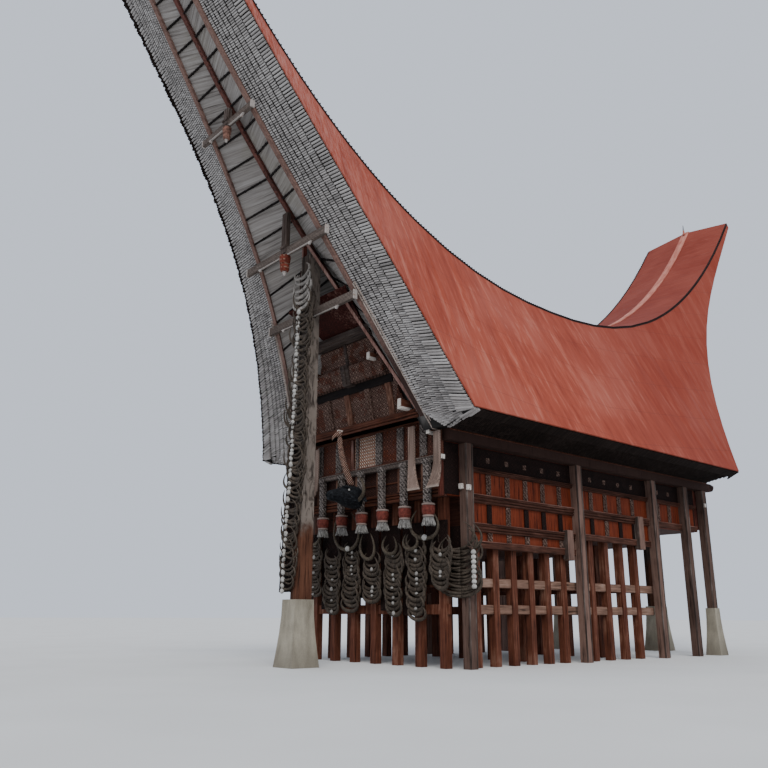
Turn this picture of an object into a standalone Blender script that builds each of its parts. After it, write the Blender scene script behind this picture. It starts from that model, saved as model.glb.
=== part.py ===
"""Tongkonan house: a timber house on posts under a tall saddle roof of layered bamboo and red sheet.

Metres. +X is the right side, +Y runs from the front to the rear, and Z = 0 is the ground under the
middle of the house. The roof is symmetric to both sides and to front and rear, so its shape is given
as functions of the distance d from the middle, measured along Y.
"""

import math

import bmesh
import bpy

# Fit between touching pieces
GAP = 0.0003
SOFFIT_CLEARANCE = 0.012
ROW_STEP_IN = 0.004

# Roof: sheet, crease, ridge, eave and tip
SHEET = 0.03
BAND_HALF = 1.55
RIDGE_RISE = 0.20
SADDLE_Z = 8.28
TIP_RISE = 6.20
TIP_D = 10.70
SADDLE_POWER = 2.3
EAVE_HALF = 3.50
EAVE_Z = 4.59
EAVE_D = 5.06
VERGE_DECAY = 1.78
VERGE_POWER = 1.15

# Roof: bamboo layers, seat on the wall plate and inner edge of the gable ends
LAYER_SHARES = (0.0, 0.26, 0.43, 0.565, 0.69, 0.80, 0.90, 1.0)
SEAT_Z = 4.40
SEAT_MARGIN = 0.07
SEAT_D = 4.95
RAIL_DROP = 4.90
RAIL_DECAY = 2.40
RAIL_POWER = 1.15
RAIL_FOOT_OUT = 0.08
RAIL_TIP_HALF = 0.45
CORE_D = 4.60
CORE_DEPTH = 2.15
TIP_DEPTH = 0.30
CORE_POWER = 1.3
MIDDLE_STATIONS = 5
END_STATIONS = 14
END_CROWDING = 1.6

# Roof: ridge cap, ridge beam, rails and finials
CAP_HALF = 0.13
CAP_THICK = 0.03
BEAM_HALF = 0.05
BEAM_HEIGHT = 0.10
RAIL_HALF = 0.05
RAIL_HEIGHT = 0.11
FINIAL_HEIGHT = 0.38
FINIAL_RADIUS = 0.045
FINIAL_SETBACK = 0.15

# Tie beams under the rails: distance from the middle and half length
TIE_LOWER_D = 6.29
TIE_LOWER_HALF = 1.52
TIE_MIDDLE_D = 6.98
TIE_MIDDLE_HALF = 1.46
TIE_UPPER_D = 8.53
TIE_UPPER_HALF = 0.98
TIE_DEPTH = 0.12
TIE_HEIGHT = 0.20
KING_HALF = 0.09
PENDANT_LENGTH = 0.46
PENDANT_RADIUS = 0.12
PENDANT_SIDES = 10

# Centre posts in front of and behind the house, on concrete feet
CENTRE_POST_D = 6.30
CENTRE_POST_DEPTH = 0.30
CENTRE_POST_WIDTH = 0.28
CENTRE_FOOT_FORWARD = 0.06
CENTRE_FOOT_TOP = 1.22
CENTRE_FOOT_TOP_HALF = 0.215
CENTRE_FOOT_BASE_HALF = 0.31
FOOT_RINGS = 4

# Body: walls, wall plates and posts
WALL_HALF = 2.32
WALL_THICK = 0.08
FACADE_D = 4.72
FACADE_BOTTOM = 3.11
BAY_BOTTOM = 3.15
PLATE_LAP = 0.22
PLATE_LIP = 0.02
PLATE_HEIGHT = 0.22
PLATE_D = 5.16
PLATE_PROUD = 0.02
POST = 0.19
PLATE_INNER = WALL_HALF - PLATE_LAP
PLATE_OUTER = WALL_HALF + POST + PLATE_LIP
POST_1_Y = -4.19
POST_2_Y = -0.62
POST_3_Y = 2.46
POST_4_Y = 4.00
REAR_POST_Y = 4.98
REAR_FOOT_TOP = 1.15
REAR_FOOT_TOP_HALF = 0.125
REAR_FOOT_BASE_HALF = 0.20

# Body: stepped floors and window
FLOOR_FRONT_Z = 2.20
FLOOR_MIDDLE_Z = 2.59
FLOOR_REAR_Z = 3.06
FLOOR_THICK = 0.10
RISER = 0.08
BAY_D = 4.05
WINDOW_LEFT = -0.44
WINDOW_RIGHT = 0.36
WINDOW_SILL = 3.95
WINDOW_HEAD = 4.62
SHUTTER_SLIT = 0.08
SHUTTER_THICK = 0.035

# Gable: ledge, boards that lean forward, cornice and apex boards
LEDGE_Z = 4.68
LEDGE_HEIGHT = 0.15
LEDGE_PROUD = 0.28
GABLE_FOOT_D = 4.83
GABLE_TOP_D = 5.25
GABLE_TOP_Z = 6.66
GABLE_BOARD = 0.07
GABLE_LEVELS = 10
CORNICE_HEIGHT = 0.15
CORNICE_PROUD = 0.22
APEX_OVER_RAIL = 0.40
APEX_BOARD = 0.05
APEX_LEVELS = 4

# Under the house: piers and the rails through them
PIER = 0.16
PIER_INSET = 0.12
PIER_X = WALL_HALF - PIER_INSET
FRONT_PIER_Y = -3.80
FRONT_PIER_SPACING = 0.545
FRONT_PIERS = 6
MIDDLE_PIER_Y = -0.03
MIDDLE_PIER_SPACING = 0.60
MIDDLE_PIERS = 4
RAIL_LOW_Z = 1.05
RAIL_HIGH_Z = 1.55
THROUGH_RAIL_HEIGHT = 0.18
THROUGH_RAIL_DEPTH = 0.07
FACADE_PIER_D = 4.40
FACADE_BAYS = 7
FACADE_PIER_INSET = 0.205
FACADE_SPACING = (PIER_X - FACADE_PIER_INSET) / ((FACADE_BAYS - 1) / 2)
CROSS_PIERS = 4
CROSS_PIER_SPACING = 0.88
CROSS_MIDDLE_Y = -1.35
CROSS_REAR_Y = 1.48

# Facade: carved rail with hanging posts, ear planks, bird and buffalo head
HANGER_RAIL_Z = 3.80
HANGER_RAIL_HEIGHT = 0.11
HANGER_RAIL_DEPTH = 0.12
HANGER_RAIL_HALF = 2.37
HANGER_END = 0.375
HANGER_SPACING = (HANGER_RAIL_HALF - HANGER_END) / ((FACADE_BAYS - 1) / 2)
HANGER_WIDTH = 0.16
HANGER_DEPTH = 0.10
HANGER_BOTTOM = 2.98
POT_RADIUS = 0.135
POT_HEIGHT = 0.24
FRINGE_HEIGHT = 0.18
EAR_THICK = 0.045
EAR_BOTTOM = 3.24
EAR_INNER_TOP = 4.56
EAR_INNER_SHIFT = 0.0825
EAR_INNER_X = 2.5 * HANGER_SPACING - EAR_INNER_SHIFT
EAR_INNER_FOOT_X = EAR_INNER_X + 0.26
EAR_OUTER_TOP = 4.36
EAR_OUTER_X = HANGER_RAIL_HALF - 0.08
EAR_OUTER_FOOT_X = HANGER_RAIL_HALF - 0.03
EAR_TOP_HALF = 0.09
EAR_FOOT_HALF = 0.145
EAR_REACH = 0.20
EAR_STEPS = 6
HEAD_TOP = 3.54
HEAD_FORM = (
    (0.0, 0.19, -0.48, -0.06),
    (0.10, 0.23, -0.50, 0.0),
    (0.42, 0.25, -0.44, 0.0),
    (0.82, 0.12, -0.36, -0.12),
)
HEAD_HORN_HALF = 0.48
HEAD_HORN_LIFT = 0.38
HEAD_HORN_THICK = 0.055
HEAD_HORN_SINK = 0.24
BIRD_FOOT_FORWARD = 0.20
BIRD_HEIGHT = 1.06
BIRD_REACH = 0.35
BIRD_THICK = 0.09
BIRD_STEPS = 8
BIRD_HEAD = ((0.09, 0.05, -0.06, 0.06), (-0.06, 0.06, -0.12, 0.07), (-0.19, 0.02, -0.28, -0.16))

# Horn stacks
STACK_BOTTOM = 0.95
STACK_STAGGER = 0.12
STACK_TOP = 2.72
STACK_POLE = 0.06
HORN_HALF = 0.24
HORN_BAND = 0.055
HORN_PITCH = 0.27
HORN_ARC_STEPS = 4
POST_HORNS_BOTTOM = 1.50
POST_HORNS_TOP = 8.05
POST_HORN_HALF = 0.30
POST_HORN_PITCH = 0.44

# Colours and roughness of the sub-parts
RED_SHEET = (0.33, 0.07, 0.045)
BAMBOO = (0.27, 0.25, 0.22)
PALE_STRIP = (0.55, 0.52, 0.48)
BROWN_RAIL = (0.16, 0.085, 0.06)
GREY_TIMBER = (0.24, 0.21, 0.18)
DARK_TIMBER = (0.07, 0.035, 0.025)
RED_TIMBER = (0.22, 0.07, 0.035)
PANEL_RED = (0.30, 0.075, 0.03)
CONCRETE = (0.46, 0.44, 0.40)
HORN = (0.10, 0.08, 0.06)
BLACK_TIMBER = (0.02, 0.022, 0.025)


def clear_scene():
    for obj in list(bpy.data.objects):
        bpy.data.objects.remove(obj, do_unlink=True)


def make_material(name, colour, roughness, metallic=0.0):
    material = bpy.data.materials.new(name)
    material.use_nodes = True
    shader = material.node_tree.nodes["Principled BSDF"]
    shader.inputs["Base Color"].default_value = (*colour, 1.0)
    shader.inputs["Roughness"].default_value = roughness
    shader.inputs["Metallic"].default_value = metallic
    return material


def make_object(name, bm, material):
    """Turns a bmesh into an object with its faces outward."""
    bmesh.ops.recalc_face_normals(bm, faces=bm.faces)
    mesh = bpy.data.meshes.new(name)
    bm.to_mesh(mesh)
    bm.free()
    mesh.materials.append(material)
    obj = bpy.data.objects.new(name, mesh)
    bpy.context.collection.objects.link(obj)
    return obj


def fuse(obj, *helpers):
    """Joins helpers to an object by Boolean union. Each crosses or enters what is there already."""
    for helper in helpers:
        helper.hide_render = True
        helper.display_type = "WIRE"
        union = obj.modifiers.new(f"Join {helper.name}", "BOOLEAN")
        union.operation = "UNION"
        union.object = helper
    return obj


def cut(obj, cutter):
    cutter.hide_render = True
    cutter.display_type = "WIRE"
    difference = obj.modifiers.new(f"Cut {cutter.name}", "BOOLEAN")
    difference.operation = "DIFFERENCE"
    difference.object = cutter
    return obj


def add_box(bm, x_range, y_range, z_range):
    corners = [bm.verts.new((x, y, z)) for x in x_range for y in y_range for z in z_range]
    for face in ((0, 1, 3, 2), (4, 6, 7, 5), (0, 4, 5, 1), (2, 3, 7, 6), (0, 2, 6, 4), (1, 5, 7, 3)):
        bm.faces.new([corners[i] for i in face])


def box(name, x_range, y_range, z_range, material):
    bm = bmesh.new()
    add_box(bm, sorted(x_range), sorted(y_range), sorted(z_range))
    return make_object(name, bm, material)


def boxes(name, extents, material):
    """One mesh of boxes that don't touch."""
    bm = bmesh.new()
    for x_range, y_range, z_range in extents:
        add_box(bm, sorted(x_range), sorted(y_range), sorted(z_range))
    return make_object(name, bm, material)


def prism(name, outline, axis, start, end, material):
    """Extrudes an outline along X or Y. Its points are (y, z) for X, and (x, z) for Y."""
    bm = bmesh.new()
    if axis == "X":
        verts = [bm.verts.new((start, a, b)) for a, b in outline]
        step = (end - start, 0, 0)
    else:
        verts = [bm.verts.new((a, start, b)) for a, b in outline]
        step = (0, end - start, 0)
    face = bm.faces.new(verts)
    extruded = bmesh.ops.extrude_face_region(bm, geom=[face])
    moved = [item for item in extruded["geom"] if isinstance(item, bmesh.types.BMVert)]
    bmesh.ops.translate(bm, verts=moved, vec=step)
    return make_object(name, bm, material)


def loft(name, sections, material):
    """Skins closed sections of equal length and caps both ends.

    Each four-sided patch is split along the diagonal from its point nearest the middle line in the
    section nearest the middle of the house, so that skins that share a curve share their diagonals too.
    """
    bm = bmesh.new()
    rings = [[bm.verts.new(point) for point in section] for section in sections]
    count = len(rings[0])
    for ring, following in zip(rings[:-1], rings[1:]):
        if abs(ring[0].co.y) > abs(following[0].co.y):
            ring, following = following, ring
        for j in range(count):
            k = (j + 1) % count
            first, second = ring[j].co, ring[k].co
            if (abs(first.x), first.z) <= (abs(second.x), second.z):
                triangles = ((ring[j], following[k], ring[k]), (ring[j], following[j], following[k]))
            else:
                triangles = ((ring[k], ring[j], following[j]), (ring[k], following[j], following[k]))
            for triangle in triangles:
                bm.faces.new(triangle)
    bm.faces.new(rings[0])
    bm.faces.new(rings[-1])
    return make_object(name, bm, material)


def turned(name, profile, centre, material, sides=PENDANT_SIDES):
    """Skins rings of (radius, z) about a vertical line through centre."""
    sections = []
    for radius, z in profile:
        angles = [2 * math.pi * i / sides for i in range(sides)]
        ring = [(centre[0] + radius * math.cos(a), centre[1] + radius * math.sin(a), z) for a in angles]
        sections.append(ring)
    return loft(name, sections, material)


# Roof form, by distance d from the middle


def crease_z(d):
    """Edge of the top band."""
    return SADDLE_Z + TIP_RISE * (abs(d) / TIP_D) ** SADDLE_POWER


def ridge_z(d):
    return crease_z(d) + RIDGE_RISE


def verge(d):
    """Lower edge of the red sheet: the straight eave, then the gable verge, as (half width, z)."""
    if abs(d) <= EAVE_D:
        return EAVE_HALF, EAVE_Z
    drop_left = math.exp(-(abs(d) - EAVE_D) / VERGE_DECAY)
    half = BAND_HALF + (EAVE_HALF - BAND_HALF) * drop_left**VERGE_POWER
    return half, crease_z(d) - (crease_z(EAVE_D) - EAVE_Z) * drop_left


def rail_centre(d):
    """Middle of the rail along the lower edge of the bamboo at a gable end, as (half width, z)."""
    drop_left = math.exp(-(abs(d) - SEAT_D) / RAIL_DECAY)
    foot_half = PLATE_INNER + RAIL_FOOT_OUT
    half = RAIL_TIP_HALF + (foot_half - RAIL_TIP_HALF) * drop_left**RAIL_POWER
    return half, crease_z(d) - RAIL_DROP * drop_left


def seat(d):
    """Flat underside on the wall plate, then on the rail, as (inner x, outer x, z)."""
    if abs(d) <= SEAT_D:
        return PLATE_INNER - SEAT_MARGIN, PLATE_OUTER + SEAT_MARGIN, SEAT_Z
    half, z = rail_centre(d)
    return half - RAIL_HALF, half + RAIL_HALF, z + RAIL_HEIGHT / 2


def soffit_z(d):
    """Underside of the bamboo over the middle line."""
    left = min(1.0, (TIP_D - abs(d)) / (TIP_D - CORE_D))
    return crease_z(d) - TIP_DEPTH - (CORE_DEPTH - TIP_DEPTH) * left**CORE_POWER


def stations():
    """Positions along Y of the roof's sections: at the end walls, and denser where the verge is steep."""
    wall = FACADE_D - WALL_THICK
    middle = [wall * i / MIDDLE_STATIONS for i in range(1, MIDDLE_STATIONS + 1)]
    reach = TIP_D - EAVE_D
    end = [EAVE_D + reach * (i / END_STATIONS) ** END_CROWDING for i in range(END_STATIONS + 1)]
    half = middle + [SEAT_D] + end
    return [-d for d in reversed(half)] + [0.0] + half


def end_stations(side):
    """Stations of one gable end, from its foot to its tip. side is -1 in front and 1 behind."""
    return sorted((y for y in stations() if side * y > SEAT_D + GAP), key=abs)


def on_stations(function, y):
    """Reads a function of d as the roof's straight facets between two stations carry it."""
    known = stations()
    for low, high in zip(known[:-1], known[1:]):
        if low <= y <= high:
            share = (y - low) / (high - low)
            return function(low) * (1 - share) + function(high) * share
    return function(y)


def inward(points, distance):
    """Offsets the roof line ridge, crease, verge towards the inside by a distance, with a mitre."""
    (x0, z0), (x1, z1), (x2, z2) = points
    top = math.atan2(z1 - z0, x1 - x0)
    side = math.atan2(z2 - z1, x2 - x1)
    middle = (top + side) / 2
    reach = distance / math.cos((side - top) / 2)
    return (
        (x0, z0 - distance / math.cos(top)),
        (x1 + reach * math.sin(middle), z1 - reach * math.cos(middle)),
        (x2 + distance * math.sin(side), z2 - distance * math.cos(side)),
    )


def roof_line(d):
    return (0.0, ridge_z(d)), (BAND_HALF, crease_z(d)), verge(d)


def towards(start, end, distance):
    """The point a distance from start on the line to end."""
    length = math.dist(start, end)
    return tuple(a + (b - a) * distance / length for a, b in zip(start, end))


def bamboo_section(d):
    """Right half of the bamboo: under the sheet, down the stepped layers, over the seat to the middle."""
    ridge, crease, edge = inward(roof_line(d), SHEET + GAP)
    seat_in, seat_out, seat_z = seat(d)
    run = math.dist(crease, edge)
    slope = ((edge[0] - crease[0]) / run, (edge[1] - crease[1]) / run)
    inner = (slope[1], -slope[0])
    across = (seat_out - edge[0], seat_z - edge[1])
    depth = across[0] * inner[0] + across[1] * inner[1]
    shift = across[0] * slope[0] + across[1] * slope[1]
    points = [(GAP / 2, ridge[1]), crease, edge]
    for above, here in zip(LAYER_SHARES[:-1], LAYER_SHARES[1:]):
        for depth_share, shift_share in ((here, above), (here, here)):
            a = depth * depth_share
            b = shift * shift_share
            points.append((edge[0] + a * inner[0] + b * slope[0], edge[1] + a * inner[1] + b * slope[1]))
    points.append((seat_in, seat_z))
    points.append((BEAM_HALF, soffit_z(d)))
    points.append((GAP / 2, soffit_z(d)))
    return points


def side_sheet_section(d):
    outer = roof_line(d)
    under = inward(outer, SHEET)
    return [
        towards(outer[1], outer[2], GAP),
        outer[2],
        under[2],
        towards(under[1], under[2], GAP),
    ]


def top_sheet_section(d):
    outer = roof_line(d)
    under = inward(outer, SHEET)
    right = [outer[0], outer[1], under[1], under[0]]
    left = [(-x, z) for x, z in (under[1], outer[1])]
    return right + left


def ridge_cap_section(d):
    fall = RIDGE_RISE / BAND_HALF * CAP_HALF
    low = ridge_z(d) + GAP
    high = low + CAP_THICK
    return [
        (0, low),
        (CAP_HALF, low - fall),
        (CAP_HALF, high - fall),
        (0, high),
        (-CAP_HALF, high - fall),
        (-CAP_HALF, low - fall),
    ]


def bar_section(x, half, top, height):
    return [(x - half, top - height), (x + half, top - height), (x + half, top), (x - half, top)]


def roof_loft(name, section, along, material, side=1):
    rings = [[(side * x, y, z) for x, z in section(y)] for y in along]
    return loft(name, rings, material)


def beam_bottom(d):
    return soffit_z(d) - GAP - BEAM_HEIGHT


def rail_bottom(d):
    return seat(d)[2] - GAP - RAIL_HEIGHT


def between(start, finish, share):
    return tuple(a + (b - a) * share for a, b in zip(start, finish))


def soffit_line(y):
    """Inner face of the bamboo at one place along the house, as (x, z) from the seat up to the ridge beam.

    The middle point lies on the diagonal that splits the face between two stations.
    """
    known = sorted({abs(d) for d in stations()})
    for near, far in zip(known[:-1], known[1:]):
        if near <= abs(y) <= far:
            break
    share = (abs(y) - near) / (far - near)
    foot_near, foot_far = [(seat(d)[0], seat(d)[2]) for d in (near, far)]
    head_near, head_far = [(BEAM_HALF, soffit_z(d)) for d in (near, far)]
    return (
        between(foot_near, foot_far, share),
        between(head_near, foot_far, share),
        between(head_near, head_far, share),
    )


def soffit_at(y, z):
    """Half width of the space under the bamboo at a height, at one place along the house."""
    foot, middle, head = soffit_line(y)
    low, high = (foot, middle) if z < middle[1] else (middle, head)
    return low[0] + (high[0] - low[0]) * (z - low[1]) / (high[1] - low[1])


def depths_between(start, finish, count):
    """Evenly spaced distances from the middle, with the roof's stations among them."""
    even = [start + (finish - start) * i / count for i in range(count + 1)]
    extra = [d for d in stations() if start < d < finish and min(abs(d - e) for e in even) > GAP]
    return sorted(even + extra)


# Roof pieces


def make_roof():
    red = make_material("red sheet", RED_SHEET, 0.55, 0.1)
    bamboo = make_material("grey bamboo", BAMBOO, 0.85)
    pale = make_material("pale strip", PALE_STRIP, 0.6)
    along = stations()
    for side, word in ((1, "right"), (-1, "left")):
        roof_loft(f"roof_sheet_{word}", side_sheet_section, along, red, side)
        roof_loft(f"roof_bamboo_{word}", bamboo_section, along, bamboo, side)
    roof_loft("roof_top_sheet", top_sheet_section, along, red)
    cap = roof_loft("ridge_cap", ridge_cap_section, along, pale)
    for side, word in ((-1, "front"), (1, "rear")):
        y = side * (TIP_D - FINIAL_SETBACK)
        foot = on_stations(ridge_z, y + side * FINIAL_RADIUS) + CAP_THICK / 3
        profile = ((FINIAL_RADIUS, foot), (FINIAL_RADIUS / 4, foot + FINIAL_HEIGHT))
        fuse(cap, turned(f"finial {word}", profile, (0, y), pale, 8))


def make_roof_timbers():
    brown = make_material("brown rail", BROWN_RAIL, 0.75)
    beam = bar_section
    roof_loft(
        "ridge_beam",
        lambda d: beam(0, BEAM_HALF, soffit_z(d) - GAP, BEAM_HEIGHT),
        stations(),
        brown,
    )
    for end, place in ((-1, "front"), (1, "rear")):
        for side, word in ((1, "right"), (-1, "left")):
            roof_loft(
                f"verge_rail_{place}_{word}",
                lambda d: beam(rail_centre(d)[0], RAIL_HALF, seat(d)[2] - GAP, RAIL_HEIGHT),
                end_stations(end),
                brown,
                side,
            )


def tie_levels(end, d):
    """Y range and Z range of the tie beam at a distance d, under the rails."""
    y = end * d
    top = on_stations(rail_bottom, end * (d - TIE_DEPTH / 2)) - GAP
    return (y - TIE_DEPTH / 2, y + TIE_DEPTH / 2), (top - TIE_HEIGHT, top)


def make_ties():
    """Tie beams that hang under the rails. The two outer ones carry a king post with a pendant below."""
    grey = make_material("carved grey timber", GREY_TIMBER, 0.85)
    ties = (
        ("lower", TIE_LOWER_D, TIE_LOWER_HALF, False),
        ("middle", TIE_MIDDLE_D, TIE_MIDDLE_HALF, True),
        ("upper", TIE_UPPER_D, TIE_UPPER_HALF, True),
    )
    for end, place in ((-1, "front"), (1, "rear")):
        for word, d, half, has_king in ties:
            depth, height = tie_levels(end, d)
            tie = box(f"tie_beam_{place}_{word}", (-half, half), depth, height, grey)
            if has_king:
                back = end * (d - TIE_DEPTH / 2)
                face = end * (d + TIE_DEPTH * 0.4)
                head = on_stations(beam_bottom, back) - GAP
                across = (-KING_HALF, KING_HALF)
                foot = (height[0] + height[1]) / 2
                king = box(f"king {place} {word}", across, (back, face), (foot, head), grey)
                fuse(tie, king, make_pendant(f"pendant {place} {word}", end * d, height[0], grey))


def make_pendant(name, y, under, material):
    """Turned drop: collar, bulb, neck, ball and tip."""
    shares = ((0.55, 0.1), (0.9, -0.05), (1.0, -0.3), (0.55, -0.45), (0.8, -0.65), (0.3, -0.85), (0.1, -1.0))
    profile = [(PENDANT_RADIUS * r, under + PENDANT_LENGTH * z) for r, z in shares]
    return turned(name, profile, (0, y), material)


# Centre posts


def flared_foot(name, x, y, top, top_half, base_half, material):
    """Square concrete foot whose sides curve outward to the ground."""
    sections = []
    for ring in range(FOOT_RINGS + 1):
        share = ring / FOOT_RINGS
        half = base_half + (top_half - base_half) * math.sin(share * math.pi / 2)
        z = top * share
        turns = ((-1, -1), (1, -1), (1, 1), (-1, 1))
        sections.append([(x + across * half, y + along * half, z) for across, along in turns])
    bm = bmesh.new()
    rings = [[bm.verts.new(point) for point in section] for section in sections]
    for low, high in zip(rings[:-1], rings[1:]):
        for j in range(4):
            k = (j + 1) % 4
            bm.faces.new((low[j], low[k], high[k], high[j]))
    bm.faces.new(rings[0])
    bm.faces.new(rings[-1])
    return make_object(name, bm, material)


def make_centre_posts():
    """Posts up to the ridge beam on flared feet, with the lower tie beam passing through them."""
    timber = make_material("post timber", GREY_TIMBER, 0.85)
    concrete = make_material("concrete", CONCRETE, 0.9)
    for end, place in ((-1, "front"), (1, "rear")):
        y = end * CENTRE_POST_D
        flared_foot(
            f"centre_post_foot_{place}",
            0,
            y + end * CENTRE_FOOT_FORWARD,
            CENTRE_FOOT_TOP,
            CENTRE_FOOT_TOP_HALF,
            CENTRE_FOOT_BASE_HALF,
            concrete,
        )
        back = end * (CENTRE_POST_D - CENTRE_POST_DEPTH / 2)
        head = on_stations(beam_bottom, back) - GAP
        post = box(
            f"centre_post_{place}",
            (-CENTRE_POST_WIDTH / 2, CENTRE_POST_WIDTH / 2),
            (y - CENTRE_POST_DEPTH / 2, y + CENTRE_POST_DEPTH / 2),
            (CENTRE_FOOT_TOP + GAP, head),
            timber,
        )
        depth, height = tie_levels(end, TIE_LOWER_D)
        mortise = box(
            f"mortise {place}",
            (-CENTRE_POST_WIDTH, CENTRE_POST_WIDTH),
            (depth[0] - GAP, depth[1] + GAP),
            (height[0] - GAP, height[1] + GAP),
            timber,
        )
        cut(post, mortise)


# Body


def plate_bottom():
    return SEAT_Z - GAP - PLATE_HEIGHT


def make_side_frames():
    """Wall plate on five posts. The rearmost post stands on a flared concrete foot."""
    dark = make_material("dark timber", DARK_TIMBER, 0.75)
    concrete = make_material("foot concrete", CONCRETE, 0.9)
    post_in = WALL_HALF + GAP
    post_out = post_in + POST
    for side, word in ((1, "right"), (-1, "left")):
        plate = box(
            f"{word}_frame",
            (side * PLATE_INNER, side * PLATE_OUTER),
            (-FACADE_D - PLATE_PROUD, PLATE_D),
            (plate_bottom(), SEAT_Z - GAP),
            dark,
        )
        extents = []
        feet = [(y, 0.0) for y in (POST_1_Y, POST_2_Y, POST_3_Y, POST_4_Y)]
        for y, foot in feet + [(REAR_POST_Y, REAR_FOOT_TOP + GAP)]:
            x_range = (side * post_in, side * post_out)
            extents.append((x_range, (y - POST / 2, y + POST / 2), (foot, SEAT_Z - PLATE_HEIGHT / 2)))
        fuse(plate, boxes(f"posts {word}", extents, dark))
        flared_foot(
            f"rear_post_foot_{word}",
            side * (post_in + post_out) / 2,
            REAR_POST_Y,
            REAR_FOOT_TOP,
            REAR_FOOT_TOP_HALF,
            REAR_FOOT_BASE_HALF,
            concrete,
        )


def make_side_walls():
    """Walls whose lower edge rises in steps with the floors."""
    red = make_material("red panels", PANEL_RED, 0.7)
    front = -FACADE_D + WALL_THICK + GAP
    rear = FACADE_D - WALL_THICK - GAP
    top = plate_bottom() - GAP
    outline = (
        (front, BAY_BOTTOM),
        (-BAY_D, BAY_BOTTOM),
        (-BAY_D, FLOOR_FRONT_Z),
        (POST_2_Y, FLOOR_FRONT_Z),
        (POST_2_Y, FLOOR_MIDDLE_Z),
        (POST_3_Y, FLOOR_MIDDLE_Z),
        (POST_3_Y, FLOOR_REAR_Z),
        (rear, FLOOR_REAR_Z),
        (rear, top),
        (front, top),
    )
    for side, word in ((1, "right"), (-1, "left")):
        prism(f"{word}_wall", outline, "X", side * (WALL_HALF - WALL_THICK), side * WALL_HALF, red)


def end_wall_outline():
    """Front and rear wall up to the gable's ledge, between the wall plates and under the bamboo."""
    inner = -FACADE_D + WALL_THICK
    neck = PLATE_INNER - SEAT_MARGIN - SOFFIT_CLEARANCE
    low_top = plate_bottom() - GAP
    shoulder = soffit_at(inner, LEDGE_Z) - SOFFIT_CLEARANCE
    right = [
        (WALL_HALF, FACADE_BOTTOM),
        (WALL_HALF, low_top),
        (neck, low_top),
        (neck, SEAT_Z - SOFFIT_CLEARANCE),
        (shoulder, LEDGE_Z - GAP),
    ]
    return right + [(-x, z) for x, z in reversed(right)]


def make_end_walls():
    red = make_material("facade panels", PANEL_RED, 0.75)
    inner = FACADE_D - WALL_THICK
    front = prism("front_wall", end_wall_outline(), "Y", -FACADE_D, -inner, red)
    window = box(
        "window cutter",
        (WINDOW_LEFT, WINDOW_RIGHT),
        (-FACADE_D - WALL_THICK, -inner + WALL_THICK),
        (WINDOW_SILL, WINDOW_HEAD),
        red,
    )
    cut(front, window)
    prism("rear_wall", end_wall_outline(), "Y", inner, FACADE_D, red)
    box(
        "window_shutter",
        (WINDOW_LEFT + SHUTTER_SLIT, WINDOW_RIGHT - GAP),
        (-FACADE_D + GAP, -FACADE_D + SHUTTER_THICK),
        (WINDOW_SILL + GAP, WINDOW_HEAD - GAP),
        make_material("shutter", PANEL_RED, 0.7),
    )


def cross_board(name, row, d_out, d_in, z_low, z_high, end, material):
    """A board across the gable, cut to the slope of the bamboo. Each row further out is a little narrower."""
    clearance = SOFFIT_CLEARANCE + ROW_STEP_IN * row
    low = soffit_at(end * d_in, z_low) - clearance
    high = soffit_at(end * d_in, z_high) - clearance
    outline = ((-low, z_low), (low, z_low), (high, z_high), (-high, z_high))
    return prism(name, outline, "Y", end * d_out, end * d_in, material)


def make_gables():
    """Over each end wall a ledge, then boards that lean forward under the bamboo, with a cornice on top."""
    dark = make_material("gable boards", DARK_TIMBER, 0.75)
    foot_z = LEDGE_Z + LEDGE_HEIGHT / 2
    for end, place in ((-1, "front"), (1, "rear")):
        wall_in = FACADE_D - WALL_THICK
        ledge_top = LEDGE_Z + LEDGE_HEIGHT
        ledge_d = FACADE_D + LEDGE_PROUD
        gable = cross_board(f"{place}_gable", 0, ledge_d, wall_in, LEDGE_Z, ledge_top, end, dark)
        sections = []
        for d in depths_between(GABLE_FOOT_D, GABLE_TOP_D, GABLE_LEVELS):
            z = foot_z + (GABLE_TOP_Z - foot_z) * (d - GABLE_FOOT_D) / (GABLE_TOP_D - GABLE_FOOT_D)
            half = soffit_at(end * d, z) - SOFFIT_CLEARANCE - ROW_STEP_IN
            outer = d + GABLE_BOARD
            corners = ((-half, d), (half, d), (half, outer), (-half, outer))
            sections.append([(x, end * depth, z) for x, depth in corners])
        boards = loft(f"boards {place}", sections, dark)
        cornice = cross_board(
            f"cornice {place}",
            2,
            GABLE_TOP_D + CORNICE_PROUD,
            GABLE_TOP_D + GABLE_BOARD / 2,
            GABLE_TOP_Z - GABLE_BOARD,
            GABLE_TOP_Z + CORNICE_HEIGHT,
            end,
            dark,
        )
        fuse(gable, boards, cornice)


def make_apex_boards():
    """Sloping boards from the gable's cornice up to the back of the centre post."""
    red = make_material("apex boards", RED_TIMBER, 0.75)
    low_z = GABLE_TOP_Z + CORNICE_HEIGHT + GAP
    low_d = GABLE_TOP_D + CORNICE_PROUD / 2
    high_d = CENTRE_POST_D - CENTRE_POST_DEPTH / 2 - GAP
    for end, place in ((-1, "front"), (1, "rear")):
        high_z = on_stations(rail_bottom, end * high_d) + APEX_OVER_RAIL
        sections = []
        for d in depths_between(low_d, high_d, APEX_LEVELS):
            z = low_z + (high_z - low_z) * (d - low_d) / (high_d - low_d)
            half = soffit_at(end * d, z + APEX_BOARD) - SOFFIT_CLEARANCE * 2
            corners = ((-half, 0), (half, 0), (half, APEX_BOARD), (-half, APEX_BOARD))
            sections.append([(x, end * d, z + rise) for x, rise in corners])
        loft(f"{place}_apex_boards", sections, red)


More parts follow.
